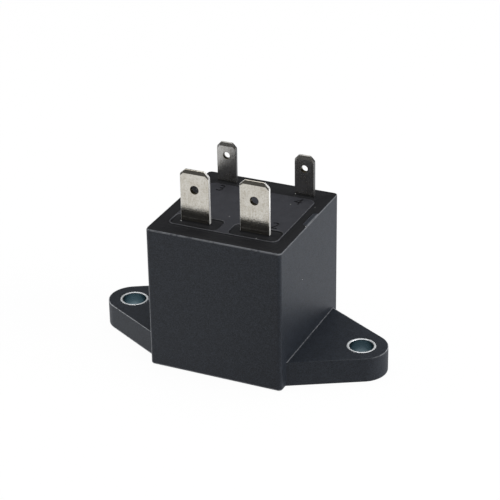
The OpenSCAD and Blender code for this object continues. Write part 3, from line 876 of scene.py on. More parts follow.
class Workpiece:
    """A solid that is joined, cut and softened in millimetres, then seated in the frame."""

    def __init__(self, name: str, shape: Shape) -> None:
        """Takes a shape over.

        Args:
            name: The piece's name.
            shape: Its first form, which is used up.
        """
        bmesh.ops.recalc_face_normals(shape, faces=shape.faces)
        mesh = bpy.data.meshes.new(name)
        shape.to_mesh(mesh)
        shape.free()
        self.object = link(name, mesh)

    def _modify(self, kind: str, **settings: Input) -> None:
        """Runs one modifier over the mesh.

        Args:
            kind: The modifier's type.
            **settings: Its settings.
        """
        modifier = self.object.modifiers.new(kind.title(), kind)
        for name, value in settings.items():
            setattr(modifier, name, value)
        graph = bpy.context.evaluated_depsgraph_get()
        made = bpy.data.meshes.new_from_object(
            self.object.evaluated_get(graph), preserve_all_data_layers=True, depsgraph=graph
        )
        self.object.modifiers.clear()
        spent = self.object.data
        self.object.data = made
        bpy.data.meshes.remove(spent)

    def _combine(self, shape: Shape, operation: str) -> None:
        """Joins or cuts with another shape, which is used up, and merges the flat faces.

        Args:
            shape: The other shape.
            operation: UNION or DIFFERENCE.
        """
        tool = Workpiece("tool", shape)
        self._modify("BOOLEAN", operation=operation, object=tool.object, solver="EXACT")
        bpy.data.objects.remove(tool.object)
        self.edit(lambda own: bmesh.ops.dissolve_limit(
            own, angle_limit=math.radians(0.2), verts=own.verts, edges=own.edges, delimit={"MATERIAL"}
        ))

    def join(self, shape: Shape) -> None:
        """Adds another shape to this one."""
        self._combine(shape, "UNION")

    def cut(self, shape: Shape) -> None:
        """Takes another shape away from this one."""
        self._combine(shape, "DIFFERENCE")

    def edit(self, change: Callable[[Shape], object]) -> None:
        """Changes the mesh by bmesh operators.

        Args:
            change: What is done to it.
        """
        shape = bmesh.new()
        shape.from_mesh(self.object.data)
        change(shape)
        shape.to_mesh(self.object.data)
        shape.free()

    @staticmethod
    def _weigh(shape: Shape, width_at: Callable[[Corner], float]) -> None:
        """Writes the width of each edge's rounding as its bevel weight.

        Args:
            shape: The mesh.
            width_at: Gives the width at an edge, or 0.
        """
        weight = shape.edges.layers.float.new("bevel_weight_edge")
        for edge in shape.edges:
            turn = edge.calc_face_angle_signed(0.0)
            if abs(turn) > SOFT_TURN:
                start, end = (v.co for v in edge.verts)
                edge[weight] = width_at(Corner((start + end) / 2, turn < 0)) / WIDEST

    def soften(self, width_at: Callable[[Corner], float], segments: int = 3) -> None:
        """Rounds edges, and marks the rounded strips for the rubbed colour, which is partly wear and partly
        a painted highlight.

        Args:
            width_at: Gives the width of the rounding at an edge, or 0.
            segments: Flats across each rounding.
        """
        self.edit(lambda shape: self._weigh(shape, width_at))
        materials = self.object.data.materials
        materials.clear()
        for _ in range(2):
            materials.append(None)
        self._modify(
            "BEVEL", limit_method="WEIGHT", width=WIDEST, offset_type="OFFSET", segments=segments,
            profile=0.5, material=1, use_clamp_overlap=False, miter_outer="MITER_SHARP",
        )
        self.mark("rub", lambda face: face.material_index == 1)
        for face in self.object.data.polygons:
            face.material_index = 0

    def mark(self, name: str, chosen: Callable[[Face], bool]) -> None:
        """Marks some faces with an attribute of 1 that a finish reads.

        Args:
            name: The attribute's name.
            chosen: Tells whether a face is marked.
        """
        if name not in self.object.data.attributes:
            self.object.data.attributes.new(name, "FLOAT", "FACE")
        self.grade(name, lambda face, share: 1.0 if chosen(face) else share)

    def grade(self, name: str, share_at: Callable[[Face, float], float]) -> None:
        """Changes how strongly each face is marked.

        Args:
            name: The attribute's name.
            share_at: Gives a face's new value from the face and its present value.
        """
        layer = self.object.data.attributes[name]
        for face in self.object.data.polygons:
            layer.data[face.index].value = share_at(face, layer.data[face.index].value)

    def seat(
        self, body: str, finish: Finish, node: str, crisp: float = CRISP_TURN
    ) -> bpy.types.Object:
        """Scales the finished piece to metres and fixes it in the frame.

        Args:
            body: The body that it rides on.
            finish: Its finish.
            node: The node that it stands for.
            crisp: Angle in degrees from which an edge shades as a sharp one.

        Returns:
            The finished object.
        """
        mesh = self.object.data
        mesh.name = self.object.name
        mesh.transform(Matrix.Scale(MM, 4))
        mesh.materials.clear()
        mesh.materials.append(finish.material())
        mesh.set_sharp_from_angle(angle=math.radians(crisp))
        self.object.modifiers.new("Even shading", "WEIGHTED_NORMAL").keep_sharp = True
        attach(self.object, body)
        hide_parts(node)
        return self.object


@dataclass(frozen=True)
class Footprint:
    """A rounded rectangle on plan, and how high and how far out the resin climbs its sides."""

    box: Extent
    radius: float
    climb: float
    reach: float

    def away(self, point: Vector) -> float:
        """Measures how far a point lies outside the rectangle.

        Args:
            point: The point, of which only X and Y count.

        Returns:
            The distance, or less than 0 inside.
        """
        middle, half = self.box.centre, self.box.size / 2
        over_x = abs(point.x - middle.x) - half.x + self.radius
        over_y = abs(point.y - middle.y) - half.y + self.radius
        outside = math.hypot(max(over_x, 0.0), max(over_y, 0.0))
        return outside + min(max(over_x, over_y), 0.0) - self.radius

    def rise(self, away: float) -> float:
        """Gives the resin's rise at a distance from the sides."""
        return self.climb * math.exp(-max(away, 0.0) / self.reach)


@dataclass(frozen=True)
class Blade:
    """The push-on blade of a tab: its corners cut, its tip thinned and a hole through it.

    The four shares say how far a face's normal has to point sideways, to the front or the back,
    over a cut corner, or to the left, for the face to count as one of these.
    """

    box: Extent
    hole_r: float
    hole_drop: float
    cut_w: float
    cut_h: float
    tip_t: float = 0.35
    tip_l: float = 0.85
    corner_l: float = 0.4
    edge_r: float = 0.1
    hole_segments: int = 48
    side_share: float = 0.95
    flat_share: float = 0.99
    cut_share: float = 0.5
    left_share: float = 0.2

    @property
    def hole_at(self) -> Vector:
        """Middle of the hole."""
        return Vector((self.box.centre.x, self.box.centre.y, self.box.high.z - self.hole_drop))

    def width_at(self, corner: Corner) -> float:
        """Gives the rounding that stamping leaves at an edge: an inner corner stays sharp."""
        return 0.0 if corner.inward else self.edge_r

    def at_hole(self, face: Face) -> bool:
        """Tells whether a face is the hole's wall or its rim."""
        away = face.center - self.hole_at
        return math.hypot(away.x, away.z) < self.hole_r + self.edge_r + CLOSE

    def is_sheared(self, face: Face) -> bool:
        """Tells whether a face is a side, a cut corner or the rolled edge on the left.

        Args:
            face: The face.

        Returns:
            Whether it is one of these.
        """
        across, up = face.normal.x, face.normal.z
        cut = abs(across) > self.cut_share and up > self.cut_share
        return not self.at_hole(face) and (abs(across) > self.side_share or cut or across < -self.left_share)

    def mark(self, tab: Workpiece) -> None:
        """Marks a tab's sheared edges, whose colour is a painted highlight on the load tabs, and its hole's
        wall and rim for a painted shade.
        """
        tab.mark("sheared", self.is_sheared)
        # The hole's wall and rim take a painted shade
        tab.mark("pierced", lambda face: self.at_hole(face) and abs(face.normal.y) < self.flat_share)

    def solid(self) -> Shape:
        """Makes the blade without its hole.

        Returns:
            The blade, down to its box's lowest height.
        """
        shape = block(self.box)
        middle, half, top = self.box.centre, self.box.size / 2, self.box.high.z
        slope = (half.y - self.tip_t / 2) / self.tip_l
        for side in SIDES:
            shoulder = Vector((middle.x + side * half.x, middle.y, top - self.cut_h))
            outward = Vector((side * self.cut_h, 0.0, self.cut_w)).normalized()
            chop(shape, shoulder, outward)
            for face in SIDES:
                away = Vector((0.0, face * half.y, 0.0))
                chop(shape, shoulder + away - self.corner_l * outward, away.normalized() + slope * outward)
        for face in SIDES:
            thinned = Vector((middle.x, middle.y + face * half.y, top - self.tip_l))
            chop(shape, thinned, Vector((0.0, face, slope)))
        return shape

    def hole(self) -> Shape:
        """Makes the pin that cuts the blade's hole."""
        reach = Vector((0.0, self.box.size.y, 0.0))
        return rod(self.hole_at - reach, self.hole_at + reach, self.hole_r, self.hole_segments)

    def slot(self) -> Shape:
        """Makes the bar that cuts a slot for the blade."""
        return block(self.box.grown(SEAT_GAP, 2 * THROUGH))


@dataclass
class Tabs:
    """A pair of stamped tabs, each a blade with a foot below it."""

    kind: str
    hole_r: float
    hole_drop: float
    cut_w: float
    cut_h: float
    finish: Metal

    def node(self, side: int) -> str:
        """Names one tab's node."""
        return f"{self.kind}_terminal_{SIDE_NAMES[side]}"

    def blade(self, side: int) -> Blade:
        """Finds one tab's blade in the frame."""
        box = self.blade_box(Extent.of(self.node(side)))
        return Blade(box, self.hole_r, self.hole_drop, self.cut_w, self.cut_h)

    def blade_box(self, box: Extent) -> Extent:
        """Finds the blade's box in the whole tab's."""
        raise NotImplementedError

    def foot(self, box: Extent) -> Shape:
        """Makes what stands below the blade in the whole tab's box."""
        raise NotImplementedError

    def width_at(self, corner: Corner, box: Extent, blade: Blade) -> float:
        """Gives the rounding of an edge of the tab that fills a box."""
        return blade.width_at(corner)

    def pierce(self, tab: Workpiece, side: int) -> None:
        """Cuts the holes that a tab has besides its blade's: none, unless its kind needs them."""

    def build(self) -> None:
        """Builds both tabs."""
        for side in SIDES:
            box, blade = Extent.of(self.node(side)), self.blade(side)
            tab = Workpiece(f"{self.kind}_tab_{SIDE_NAMES[side]}", blade.solid())
            tab.join(self.foot(box))
            tab.cut(blade.hole())
            tab.soften(lambda corner: self.width_at(corner, box, blade))
            blade.mark(tab)
            self.pierce(tab, side)
            tab.seat("root", self.finish, self.node(side), crisp=BLADE_TURN)


@dataclass
class LoadTabs(Tabs):
    """The two wide tabs, each bent into a foot under the terminal base that holds a fixed contact."""

    kind: str = "load"
    hole_r: float = 0.85
    hole_drop: float = 4.2
    cut_w: float = 1.1
    cut_h: float = 1.0
    finish: Metal = Palette.tin
    thickness: float = 0.8
    bend_r: float = 0.6
    rivet_r: float = 0.92

    def blade_box(self, box: Extent) -> Extent:
        """Finds the upright sheet at the front of the whole tab's box."""
        return Extent(box.low, Vector((box.high.x, box.low.y + self.thickness, box.high.z)))

    def foot(self, box: Extent) -> Shape:
        """Makes the level sheet at the foot of the whole tab's box."""
        return block(box.up_to(box.low.z + self.thickness))

    def width_at(self, corner: Corner, box: Extent, blade: Blade) -> float:
        """Gives the rounding of a tab's edge: the bend's outside, or what stamping leaves."""
        on_bend = abs(corner.middle.z - box.low.z) < CLOSE and abs(corner.middle.y - box.low.y) < CLOSE
        return self.bend_r if on_bend else blade.width_at(corner)

    def pierce(self, tab: Workpiece, side: int) -> None:
        """Cuts the hole in a tab's foot for the fixed contact's rivet.

        Args:
            tab: The tab.
            side: -1 for the left tab, 1 for the right.
        """
        contact = Extent.of(f"fixed_contact_{SIDE_NAMES[side]}").centre
        start = Vector((contact.x, contact.y, Extent.of(self.node(side)).low.z - THROUGH))
        tab.cut(rod(start, start + 3 * THROUGH * UP, self.rivet_r))


@dataclass
class CoilTabs(Tabs):
    """The two narrow tabs, each with a broad shoulder and a thin tail for the coil's lead."""

    kind: str = "coil"
    hole_r: float = 0.725
    hole_drop: float = 2.9
    cut_w: float = 0.9
    cut_h: float = 1.0
    finish: Metal = Palette.dull_tin
    tail_w: float = 1.2
    tail_l: float = 2.5

    def blade_box(self, box: Extent) -> Extent:
        """Finds the sheet above the tail."""
        return Extent(box.low + self.tail_l * UP, box.high)

    def foot(self, box: Extent) -> Shape:
        """Makes the tail, which runs up into the shoulder.

        Args:
            box: The whole tab's box.

        Returns:
            The tail.
        """
        half = Vector((self.tail_w / 2, box.size.y / 2, 0.0))
        foot = Vector((box.centre.x, box.centre.y, box.low.z))
        return block(Extent(foot - half, foot + half + (self.tail_l + THROUGH) * UP))


@dataclass
class Sleeves:
    """The zinc-plated steel sleeves in the mounting ears."""

    wall: float = 0.52
    rim_r: float = 0.2
    rim_segments: int = 5
    segments: int = 96
    facing_up: float = 0.3

    def turned(self, box: Extent, outer: float) -> Shape:
        """Turns one sleeve from its rounded profile.

        Args:
            box: The sleeve's box in the frame.
            outer: Its outer radius.

        Returns:
            The sleeve.
        """
        shape = bmesh.new()
        inner = outer - self.wall
        profile = ((inner, box.low), (outer, box.low), (outer, box.high), (inner, box.high))
        corners = [shape.verts.new((box.centre.x + reach, 0.0, end.z)) for reach, end in profile]
        shape.faces.new(corners)
        round_off(shape, corners, self.rim_r, self.rim_segments, "VERTICES")
        outline = list(shape.edges)
        bmesh.ops.delete(shape, geom=list(shape.faces), context="FACES_ONLY")
        bmesh.ops.spin(
            shape, geom=outline, cent=(box.centre.x, 0.0, 0.0), axis=UP, angle=math.tau,
            steps=self.segments, use_merge=True,
        )
        bmesh.ops.remove_doubles(shape, verts=shape.verts, dist=MERGED)
        return shape

    def build(self) -> None:
        """Builds both sleeves, and marks their bores for a painted shade and their pressed ends for a
        painted highlight.
        """
        for side in SIDES:
            name = f"mounting_sleeve_{SIDE_NAMES[side]}"
            box = Extent.of(name)
            axis, outer = Vector((box.centre.x, 0.0, 0.0)), box.size.x / 2 - SLEEVE_SHY
            bore_r = outer - self.wall
            sleeve = Workpiece(f"sleeve_{SIDE_NAMES[side]}", self.turned(box, outer))
            # The bore takes a painted shade
            sleeve.mark("pierced", lambda face: (face.center - axis).xy.length < bore_r + 2 * CLOSE)
            # The ends' upward faces take a painted highlight
            sleeve.mark("sheared", lambda face: face.normal.z > self.facing_up)
            sleeve.seat("root", Palette.zinc, name)


@dataclass
class Case:
    """The black moulding: a square case, open at the top, with two tapered mounting ears.

    A wear share is how much of the rubbed colour, partly wear and partly painted highlight, an edge shows.
    The upright left front corner takes it as painted highlight alone, and the right ear's share fades to
    none as its edge turns to the front.
    """

    wall: float = 1.2
    ledge: float = 0.6
    corner_r: float = 0.8
    mouth_r: float = 0.5
    foot_r: float = 0.5
    rim_r: float = 0.27
    mouth_edge_r: float = 0.12
    ear_end_r: float = 5.5
    ear_inset: float = 2.6
    ear_edge_r: float = 0.15
    ear_fillet_r: float = 0.2
    round_segments: int = 96
    corner_segments: int = 8
    edge_segments: int = 4
    # Shares of the rubbed colour, mostly painted highlight: on the rim, the left front corner, the ear
    # fillets and the right ear's end
    rim_wear: float = 0.3
    corner_wear: float = 0.45
    fillet_wear: float = 0.4
    end_wear: float = 0.6
    front_turn: float = 0.75
    worn_band: float = 1.0
    corner_facing: Place = (0.6, 0.2, 0.1)
    box: Extent = field(default_factory=lambda: Extent.of("housing"))
    base: Extent = field(default_factory=lambda: Extent.of("terminal_base"))
    sleeve: Extent = field(default_factory=lambda: Extent.of("mounting_sleeve_right"))
    yoke: Extent = field(default_factory=lambda: Extent.of("yoke"))

    @property
    def mouth(self) -> Vector:
        """Half the mouth's width and depth."""
        return Vector((self.base.high.x + SEAT_GAP, self.base.high.y + SEAT_GAP, 0.0))

    @property
    def half(self) -> Vector:
        """Half the case's width and depth."""
        return self.mouth + Vector((self.wall, self.wall, 0.0))

    @property
    def ear_t(self) -> float:
        """Thickness of the ears."""
        return self.sleeve.high.z

    def ear(self, side: int) -> Shape:
        """Makes one ear, tapered from the case to its round end.

        Args:
            side: -1 for the left ear, 1 for the right.

        Returns:
            The ear, sharp-edged.
        """
        shape = bmesh.new()
        root_y = self.half.y - self.ear_inset
        end = Vector((side * self.sleeve.centre.x, 0.0, 0.0))
        for height in (0.0, self.ear_t):
            bmesh.ops.create_circle(
                shape, cap_ends=False, segments=self.round_segments, radius=self.ear_end_r,
                matrix=Matrix.Translation(end + height * UP),
            )
            for inset in (0.0, self.wall / 2):
                for y in (-root_y, root_y):
                    shape.verts.new((side * (self.half.x - inset), y, height))
        hull = bmesh.ops.convex_hull(shape, input=shape.verts)
        spare = {v for v in hull["geom_interior"] + hull["geom_unused"] if isinstance(v, bmesh.types.BMVert)}
        bmesh.ops.delete(shape, geom=list(spare), context="VERTS")
        bmesh.ops.dissolve_limit(shape, angle_limit=math.radians(0.5), verts=shape.verts, edges=shape.edges)
        return shape

    def width_at(self, corner: Corner) -> float:
        """Gives the rounding of one of the case's edges.

        Args:
            corner: The edge.

        Returns:
            Its width in millimetres.
        """
        across, along, height = corner.middle
        if height < CLOSE:
            return self.ear_edge_r if abs(across) > self.half.x + CLOSE else self.foot_r
        if abs(height - self.ear_t) < CLOSE:
            return self.ear_fillet_r if corner.inward else self.ear_edge_r
        if abs(height - self.box.high.z) < CLOSE:
            middle = self.mouth + Vector((self.wall / 2, self.wall / 2, 0.0))
            inside = abs(across) < middle.x and abs(along) < middle.y
            return self.mouth_edge_r if inside else self.rim_r
        return 0.0

    def on_corner(self, turned: Vector) -> bool:
        """Tells whether a face of the case is on its upright left front corner, from its normal."""
        left, forward, upward = self.corner_facing
        return turned.x < -left and turned.y < -forward and abs(turned.z) < upward

    def wear(self, face: Face, rounded: float) -> float:
        """Gives how much of the rubbed colour a face takes, as wear and painted highlight.

        Args:
            face: The face.
            rounded: 1 on a rounded edge, 0 elsewhere.

        Returns:
            Its share of the rubbed colour.
        """
        centre, turned = face.center, face.normal
        # The upright left front corner takes a painted highlight alone
        if abs(centre.x) < self.half.x and self.on_corner(turned):
            return self.corner_wear
        if centre.z > self.ear_t + self.worn_band:
            return self.rim_wear * rounded
        if abs(centre.x) < self.half.x + self.ear_fillet_r:
            return self.fillet_wear * rounded
        if centre.x < 0.0:
            return rounded
        forward = -turned.y / max(turned.xy.length, CLOSE)
        return rounded * min(max(self.end_wear * (1.0 - forward / self.front_turn), 0.0), 1.0)

    def build(self) -> None:
        """Builds the moulding."""
        top = self.box.high.z
        outside = Extent.around(self.half, 0.0, top)
        shell = Workpiece("case_moulding", rounded_block(outside, self.corner_r, self.corner_segments))
        for side in SIDES:
            shell.join(self.ear(side))
        inner = self.mouth - Vector((self.ledge, self.ledge, 0.0))
        for half, floor in ((inner, self.yoke.low.z), (self.mouth, self.base.low.z)):
            shell.cut(rounded_block(Extent.around(half, floor, top + THROUGH), self.mouth_r))
        shell.soften(self.width_at, self.edge_segments)
        # Paints the edge highlight, with some wear, by each face's place and facing
        shell.grade("rub", self.wear)
        bore_r = self.sleeve.size.x / 2 - SLEEVE_SHY + SEAT_GAP
        for side in SIDES:
            foot = Vector((side * self.sleeve.centre.x, 0.0, -THROUGH))
            shell.cut(rod(foot, foot + (self.ear_t + 2 * THROUGH) * UP, bore_r, self.round_segments))
        shell.seat("root", Palette.case, "housing")


@dataclass
class TerminalTop:
    """The terminal base with its raised panel, wells and sunk numbers, and the potting round it."""

    case: Case
    load_tabs: LoadTabs
    coil_tabs: CoilTabs
    lip: float = 0.25
    lift: float = 0.3
    resin_lift: float = 0.2
    panel_half_w: float = 11.95
    panel_front: float = -10.9
    panel_back: float = 9.9
    rib_half_w: float = 1.13
    well_back: float = -5.85
    mouth_r: float = 0.5
    panel_r: float = 1.5
    well_r: float = 1.2
    round_segments: int = 8
    panel_edge_r: float = 0.1
    digit_h: float = 2.7
    digit_share: float = 0.7
    digit_sink: float = 0.18
    digit_floor: float = 0.5
    digit_margin: float = 0.2
    digit_x: float = 8.7
    load_digit_y: float = -4.1
    coil_digit_y: float = 7.85
    climb: float = 0.2
    climb_reach: float = 0.16
    tab_climb: float = 0.65
    tab_reach: float = 0.28
    film_t: float = 0.03
    film_inset: float = 0.25
    film_lift: float = 0.002
    side_bare: float = 0.08
    front_bare: float = 0.28
    wall_reach: float = 1.2
    bare_low: float = -1.6
    bare_high: float = 4.6
    bare_r: float = 0.9
    level_share: float = 0.9
    insets: tuple[float, ...] = (0.04, 0.05, 0.07, 0.09, 0.11)
    grid_step: float = 0.45
    blending: float = 3.0
    base: Extent = field(default_factory=lambda: Extent.of("terminal_base"))
    ring: Extent = field(default_factory=lambda: Extent.of("rim_potting"))

    @property
    def panel(self) -> Extent:
        """The raised panel's box, from the base's foot up."""
        low = Vector((-self.panel_half_w, self.panel_front, self.base.low.z))
        return Extent(low, Vector((self.panel_half_w, self.panel_back, self.base.high.z + self.lift)))

    @property
    def resin_z(self) -> float:
        """The height of the resin away from what it climbs."""
        return self.ring.high.z + self.resin_lift

    @property
    def flat_top(self) -> float:
        """The height of a pool's top before it is lowered to the resin's level."""
        return self.panel.high.z + self.tab_climb

    @property
    def film(self) -> Footprint:
        """The outline of the film that the resin has left over the case's rim."""
        half = self.case.half - Vector((self.side_bare, self.front_bare, 0.0))
        return Footprint(Extent.around(half, 0.0, 0.0), self.case.corner_r, 0.0, 1.0)

    @property
    def blades(self) -> list[Blade]:
        """The four blades that pass through, the load tabs' first."""
        return [tabs.blade(side) for tabs in (self.load_tabs, self.coil_tabs) for side in SIDES]

    @property
    def digits(self) -> list[Vector]:
        """The middle of each number on the panel, in the numbers' order."""
        rows = (self.load_digit_y, self.coil_digit_y)
        return [Vector((side * self.digit_x, y, self.panel.high.z)) for y in rows for side in SIDES]

    def well_at(self, side: int) -> Extent:
        """Finds the hollow of one well.

        Args:
            side: -1 for the left well, 1 for the right.

        Returns:
            Its box, from the resin's foot to its level.
        """
        foot = Extent.of(f"well_potting_{SIDE_NAMES[side]}").low.z
        left, right = sorted((side * self.rib_half_w, side * (self.panel_half_w - self.lip)))
        low = Vector((left, self.panel_front + self.lip, foot))
        return Extent(low, Vector((right, self.well_back, self.resin_z)))

    def number(self, count: int, place: Vector) -> Shape:
        """Makes a number's solid, which reaches a little below the panel's top.

        Args:
            count: The number.
            place: Its middle on the panel's top.

        Returns:
            The solid.
        """
        text = bpy.data.curves.new("number", "FONT")
        text.body = str(count)
        text.size = self.digit_h / self.digit_share
        text.align_x, text.align_y = "CENTER", "CENTER"
        text.extrude = 2 * self.digit_sink
        text.resolution_u = 4
        holder = link("number", text)
        graph = bpy.context.evaluated_depsgraph_get()
        mesh = bpy.data.meshes.new_from_object(holder.evaluated_get(graph), depsgraph=graph)
        mesh.transform(Matrix.Translation(place + self.digit_sink * UP))
        shape = bmesh.new()
        shape.from_mesh(mesh)
        bpy.data.objects.remove(holder)
        bpy.data.meshes.remove(mesh)
        bmesh.ops.remove_doubles(shape, verts=shape.verts, dist=MERGED)
        return shape

    def in_number(self, face: Face) -> bool:
        """Tells whether a face lies in one of the sunk numbers, below the panel's top."""
        near = min((face.center - place).xy.length for place in self.digits)
        return near < self.digit_h and -self.digit_floor < face.center.z - self.panel.high.z < -CLOSE

    def width_at(self, corner: Corner) -> float:
        """Gives the rounding of one of the base's edges: the panel's top alone, and not the numbers.

        Args:
            corner: The edge.

        Returns:
            Its width in millimetres.
        """
        if corner.middle.z < self.panel.high.z - CLOSE:
            return 0.0
        near = min((corner.middle - place).length for place in self.digits)
        return 0.0 if near < self.digit_h / 2 + self.digit_margin else self.panel_edge_r

    def build_base(self) -> None:
        """Builds the base: a plate, the raised panel on it, its two wells and the numbers sunk in it."""
        plate = rounded_block(self.base.up_to(self.ring.low.z), self.mouth_r)
        base = Workpiece("terminal_panel", plate)
        base.join(rounded_block(self.panel, self.panel_r, self.round_segments))
        for side in SIDES:
            well = self.well_at(side)
            base.cut(rounded_block(well.up_to(well.high.z + THROUGH), self.well_r, self.round_segments))
        for count, place in enumerate(self.digits, start=1):
            base.cut(self.number(count, place))
        # The numbers' floors take a painted shade
        base.mark("sunk", self.in_number)
        base.soften(self.width_at)
        for blade in self.blades:
            base.cut(blade.slot())
        base.seat("root", Palette.panel, "terminal_base")

    def level(self, point: Vector, touched: Iterable[Footprint], wall: Footprint) -> float:
        """Works out how high the resin has set at a place.

        Args:
            point: The place.
            touched: What stands in the resin.
            wall: What holds it, up which it climbs from inside.

        Returns:
            The resin's height.
        """
        rises = [piece.rise(piece.away(point)) for piece in touched]
        rises.append(wall.rise(-wall.away(point)))
        risen = sum(rise ** self.blending for rise in rises) ** (1 / self.blending)
        return self.resin_z + risen - self.film_t * math.exp(self.film.away(point) / self.film_inset)

    def facing_up(self, shape: Shape) -> list[bmesh.types.BMFace]:
        """Lists the faces of a pool's flat top."""
        top = self.flat_top - CLOSE
        return [f for f in shape.faces if f.normal.z > self.level_share and f.calc_center_median().z > top]

    def grid(self, shape: Shape, size: Vector) -> None:
        """Insets a pool's flat top in narrow steps along its edges, and grids it.

        Args:
            shape: The pool.
            size: What the grid covers, about the origin.
        """
        inner = self.facing_up(shape)
        for step in self.insets:
            bmesh.ops.inset_region(
                shape, faces=inner, thickness=step, depth=0.0, use_boundary=True, use_even_offset=True
            )
        for axis in (Vector((1.0, 0.0, 0.0)), Vector((0.0, 1.0, 0.0))):
            reach = size.dot(axis) / 2
            for step in range(1, math.ceil(2 * reach / self.grid_step)):
                faces = self.facing_up(shape)
                edges = {e for f in faces for e in f.edges}
                corners = {v for f in faces for v in f.verts}
                bmesh.ops.bisect_plane(
                    shape, geom=[*corners, *edges, *faces], plane_no=axis,
                    plane_co=(step * self.grid_step - reach) * axis,
                )

    def pour(self, pool: Workpiece, node: str, touched: list[Footprint], wall: Footprint) -> None:
        """Lets one pool of potting climb whatever it touches, and seats it.

        Args:
            pool: Its form with a flat top, above the highest level.
            node: The node that it stands for.
            touched: What stands in the pool.
            wall: What holds it.
        """
        def sink(shape: Shape) -> None:
            """Grids the flat top and lowers it to the resin's level.

            Args:
                shape: The pool's mesh.
            """
            self.grid(shape, self.film.box.size)
            for vertex in {v for f in self.facing_up(shape) for v in f.verts}:
                vertex.co.z = self.level(vertex.co, touched, wall)

        pool.edit(sink)
        pool.seat("root", Palette.resin, node, crisp=RESIN_TURN)

    def build_ring(self, feet: Iterable[Footprint]) -> None:
        """Pours the ring round the panel, with its film over the case's rim and one bare stretch.

        Args:
            feet: Where the coil tabs stand in it.
        """
        case, rim_z = self.case, self.case.box.high.z
        core = Footprint(self.panel.grown(SEAT_GAP, THROUGH), self.panel_r, self.climb, self.climb_reach)
        climb = rim_z + 2 * self.film_t - self.resin_z
        mouth = Footprint(Extent.around(case.mouth, 0.0, 0.0), self.mouth_r, climb, self.wall_reach)
        sheet = Extent.around(self.film.box.high, rim_z + self.film_lift, self.flat_top)
        bare = Extent(
            Vector((case.mouth.x, self.bare_low, rim_z - THROUGH)),
            Vector((case.half.x + 2 * THROUGH, self.bare_high, rim_z + THROUGH)),
        )
        ring = Workpiece("potting_ring", rounded_block(self.ring.up_to(self.flat_top), self.mouth_r))
        ring.join(rounded_block(sheet, case.corner_r))
        ring.cut(rounded_block(bare, self.bare_r))
        ring.cut(rounded_block(core.box, core.radius, self.round_segments))
        for side in SIDES:
            ring.cut(self.coil_tabs.blade(side).slot())
        self.pour(ring, "rim_potting", [core, *feet], mouth)

    def build_well(self, side: int, foot: Footprint) -> None:
        """Pours one well.

        Args:
            side: -1 for the left well, 1 for the right.
            foot: Where its load tab stands in it.
        """
        box = self.well_at(side).grown(-SEAT_GAP, 0.0)
        wall = Footprint(box, self.well_r, self.climb, self.climb_reach)
        form = rounded_block(box.up_to(self.flat_top), self.well_r, self.round_segments)
        pool = Workpiece(f"potting_pool_{SIDE_NAMES[side]}", form)
        pool.cut(self.load_tabs.blade(side).slot())
        self.pour(pool, f"well_potting_{SIDE_NAMES[side]}", [foot], wall)

    def build(self) -> None:
        """Builds the base and the potting."""
        self.build_base()
        feet = [Footprint(blade.box, 0.0, self.tab_climb, self.tab_reach) for blade in self.blades]
        self.build_ring(feet[2:])
        for side, foot in zip(SIDES, feet):
            self.build_well(side, foot)


@dataclass
class Spring:
    """A round-wire compression spring with a closed turn at each end."""

    node: str
    wire: float
    turns: float
    body: str
    joint: str
    fixed_z: float
    travel: float
    sides: int = 14
    steps_per_turn: int = 40
    closed: float = 0.9

    def wound(self, box: Extent) -> Shape:
        """Winds the spring in three stretches: a closed one, the open turns and a closed one.

        Args:
            box: The spring's box in the frame.

        Returns:
            The spring.
        """
        shape = bmesh.new()
        start = Vector(((box.size.x - self.wire) / 2, 0.0, box.low.z + self.wire / 2))
        place = Matrix.Translation(start) @ Matrix.Rotation(math.pi / 2, 4, "X")
        made = bmesh.ops.create_circle(
            shape, cap_ends=True, segments=self.sides, radius=self.wire / 2, matrix=place
        )
        last = list({f for v in made["verts"] for f in v.link_faces})
        end = (self.closed, self.closed * self.wire)
        middle = (self.turns - 2 * self.closed, box.size.z - self.wire - 2 * self.closed * self.wire)
        for turns, climb in (end, middle, end):
            steps = round(turns * self.steps_per_turn)
            spun = bmesh.ops.spin(
                shape, geom=last, cent=(0.0, 0.0, 0.0), axis=UP, dvec=(climb / steps) * UP,
                angle=math.tau * turns, steps=steps,
            )
            last = [f for f in spun["geom_last"] if isinstance(f, bmesh.types.BMFace)]
        bmesh.ops.remove_doubles(shape, verts=shape.verts, dist=MERGED)
        return shape

    def build(self) -> None:
        """Seats the spring, with a mesh of its own."""
        box = Extent.of(self.node)
        spring = Workpiece(f"{self.node}_wire", self.wound(box))
        piece = spring.seat(self.body, Palette.spring, self.node)
        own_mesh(piece)


@dataclass
class Mechanism:
    """What the sealed case holds: the contacts, the magnet that works them, and the arc chamber."""

    turns: float = 4.0
    wires: dict[str, float] = field(default_factory=lambda: {"return_spring": 0.4, "contact_spring": 0.5})
    nodes: dict[Finish, tuple[str, ...]] = field(default_factory=lambda: {
        Palette.silver: (
            "fixed_contact_left", "fixed_contact_right", "moving_contact_left", "moving_contact_right"
        ),
        Palette.copper: ("contact_bridge",),
        Palette.spring: ("bridge_clip",),
        Palette.turned: ("shaft",),
        Palette.iron: ("plunger", "fixed_core"),
        Palette.steel: ("pole_plate", "yoke", "keeper_front", "keeper_back"),
        Palette.brass: ("guide_sleeve",),
        Palette.bobbin: ("bobbin",),
        Palette.wire: ("coil_winding", "coil_lead_left", "coil_lead_right"),
        Palette.tape: ("winding_tape",),
        Palette.chamber: ("arc_chamber",),
        Palette.ferrite: ("magnet_front", "magnet_back"),
        Palette.rubber: ("plunger_damper",),
    })

    def dress(self) -> None:
        """Gives the frame's own inner nodes their finishes."""
        for finish, names in self.nodes.items():
            for name in names:
                materials = frame["nodes"][name].data.materials
                materials.clear()
                materials.append(finish.material())

    def build(self) -> None:
        """Dresses the inner nodes and winds a spring for each node that a joint shortens."""
        self.dress()
        for joint in frame["joints"]:
            for held in joint["deforming_nodes"]:
                travel = max(abs(limit) for limit in joint["range_m"])
                Spring(
                    held["node"], self.wires[held["node"]], self.turns, joint["parent"], joint["name"],
                    held["fixed_end_z_m"], travel,
                ).build()


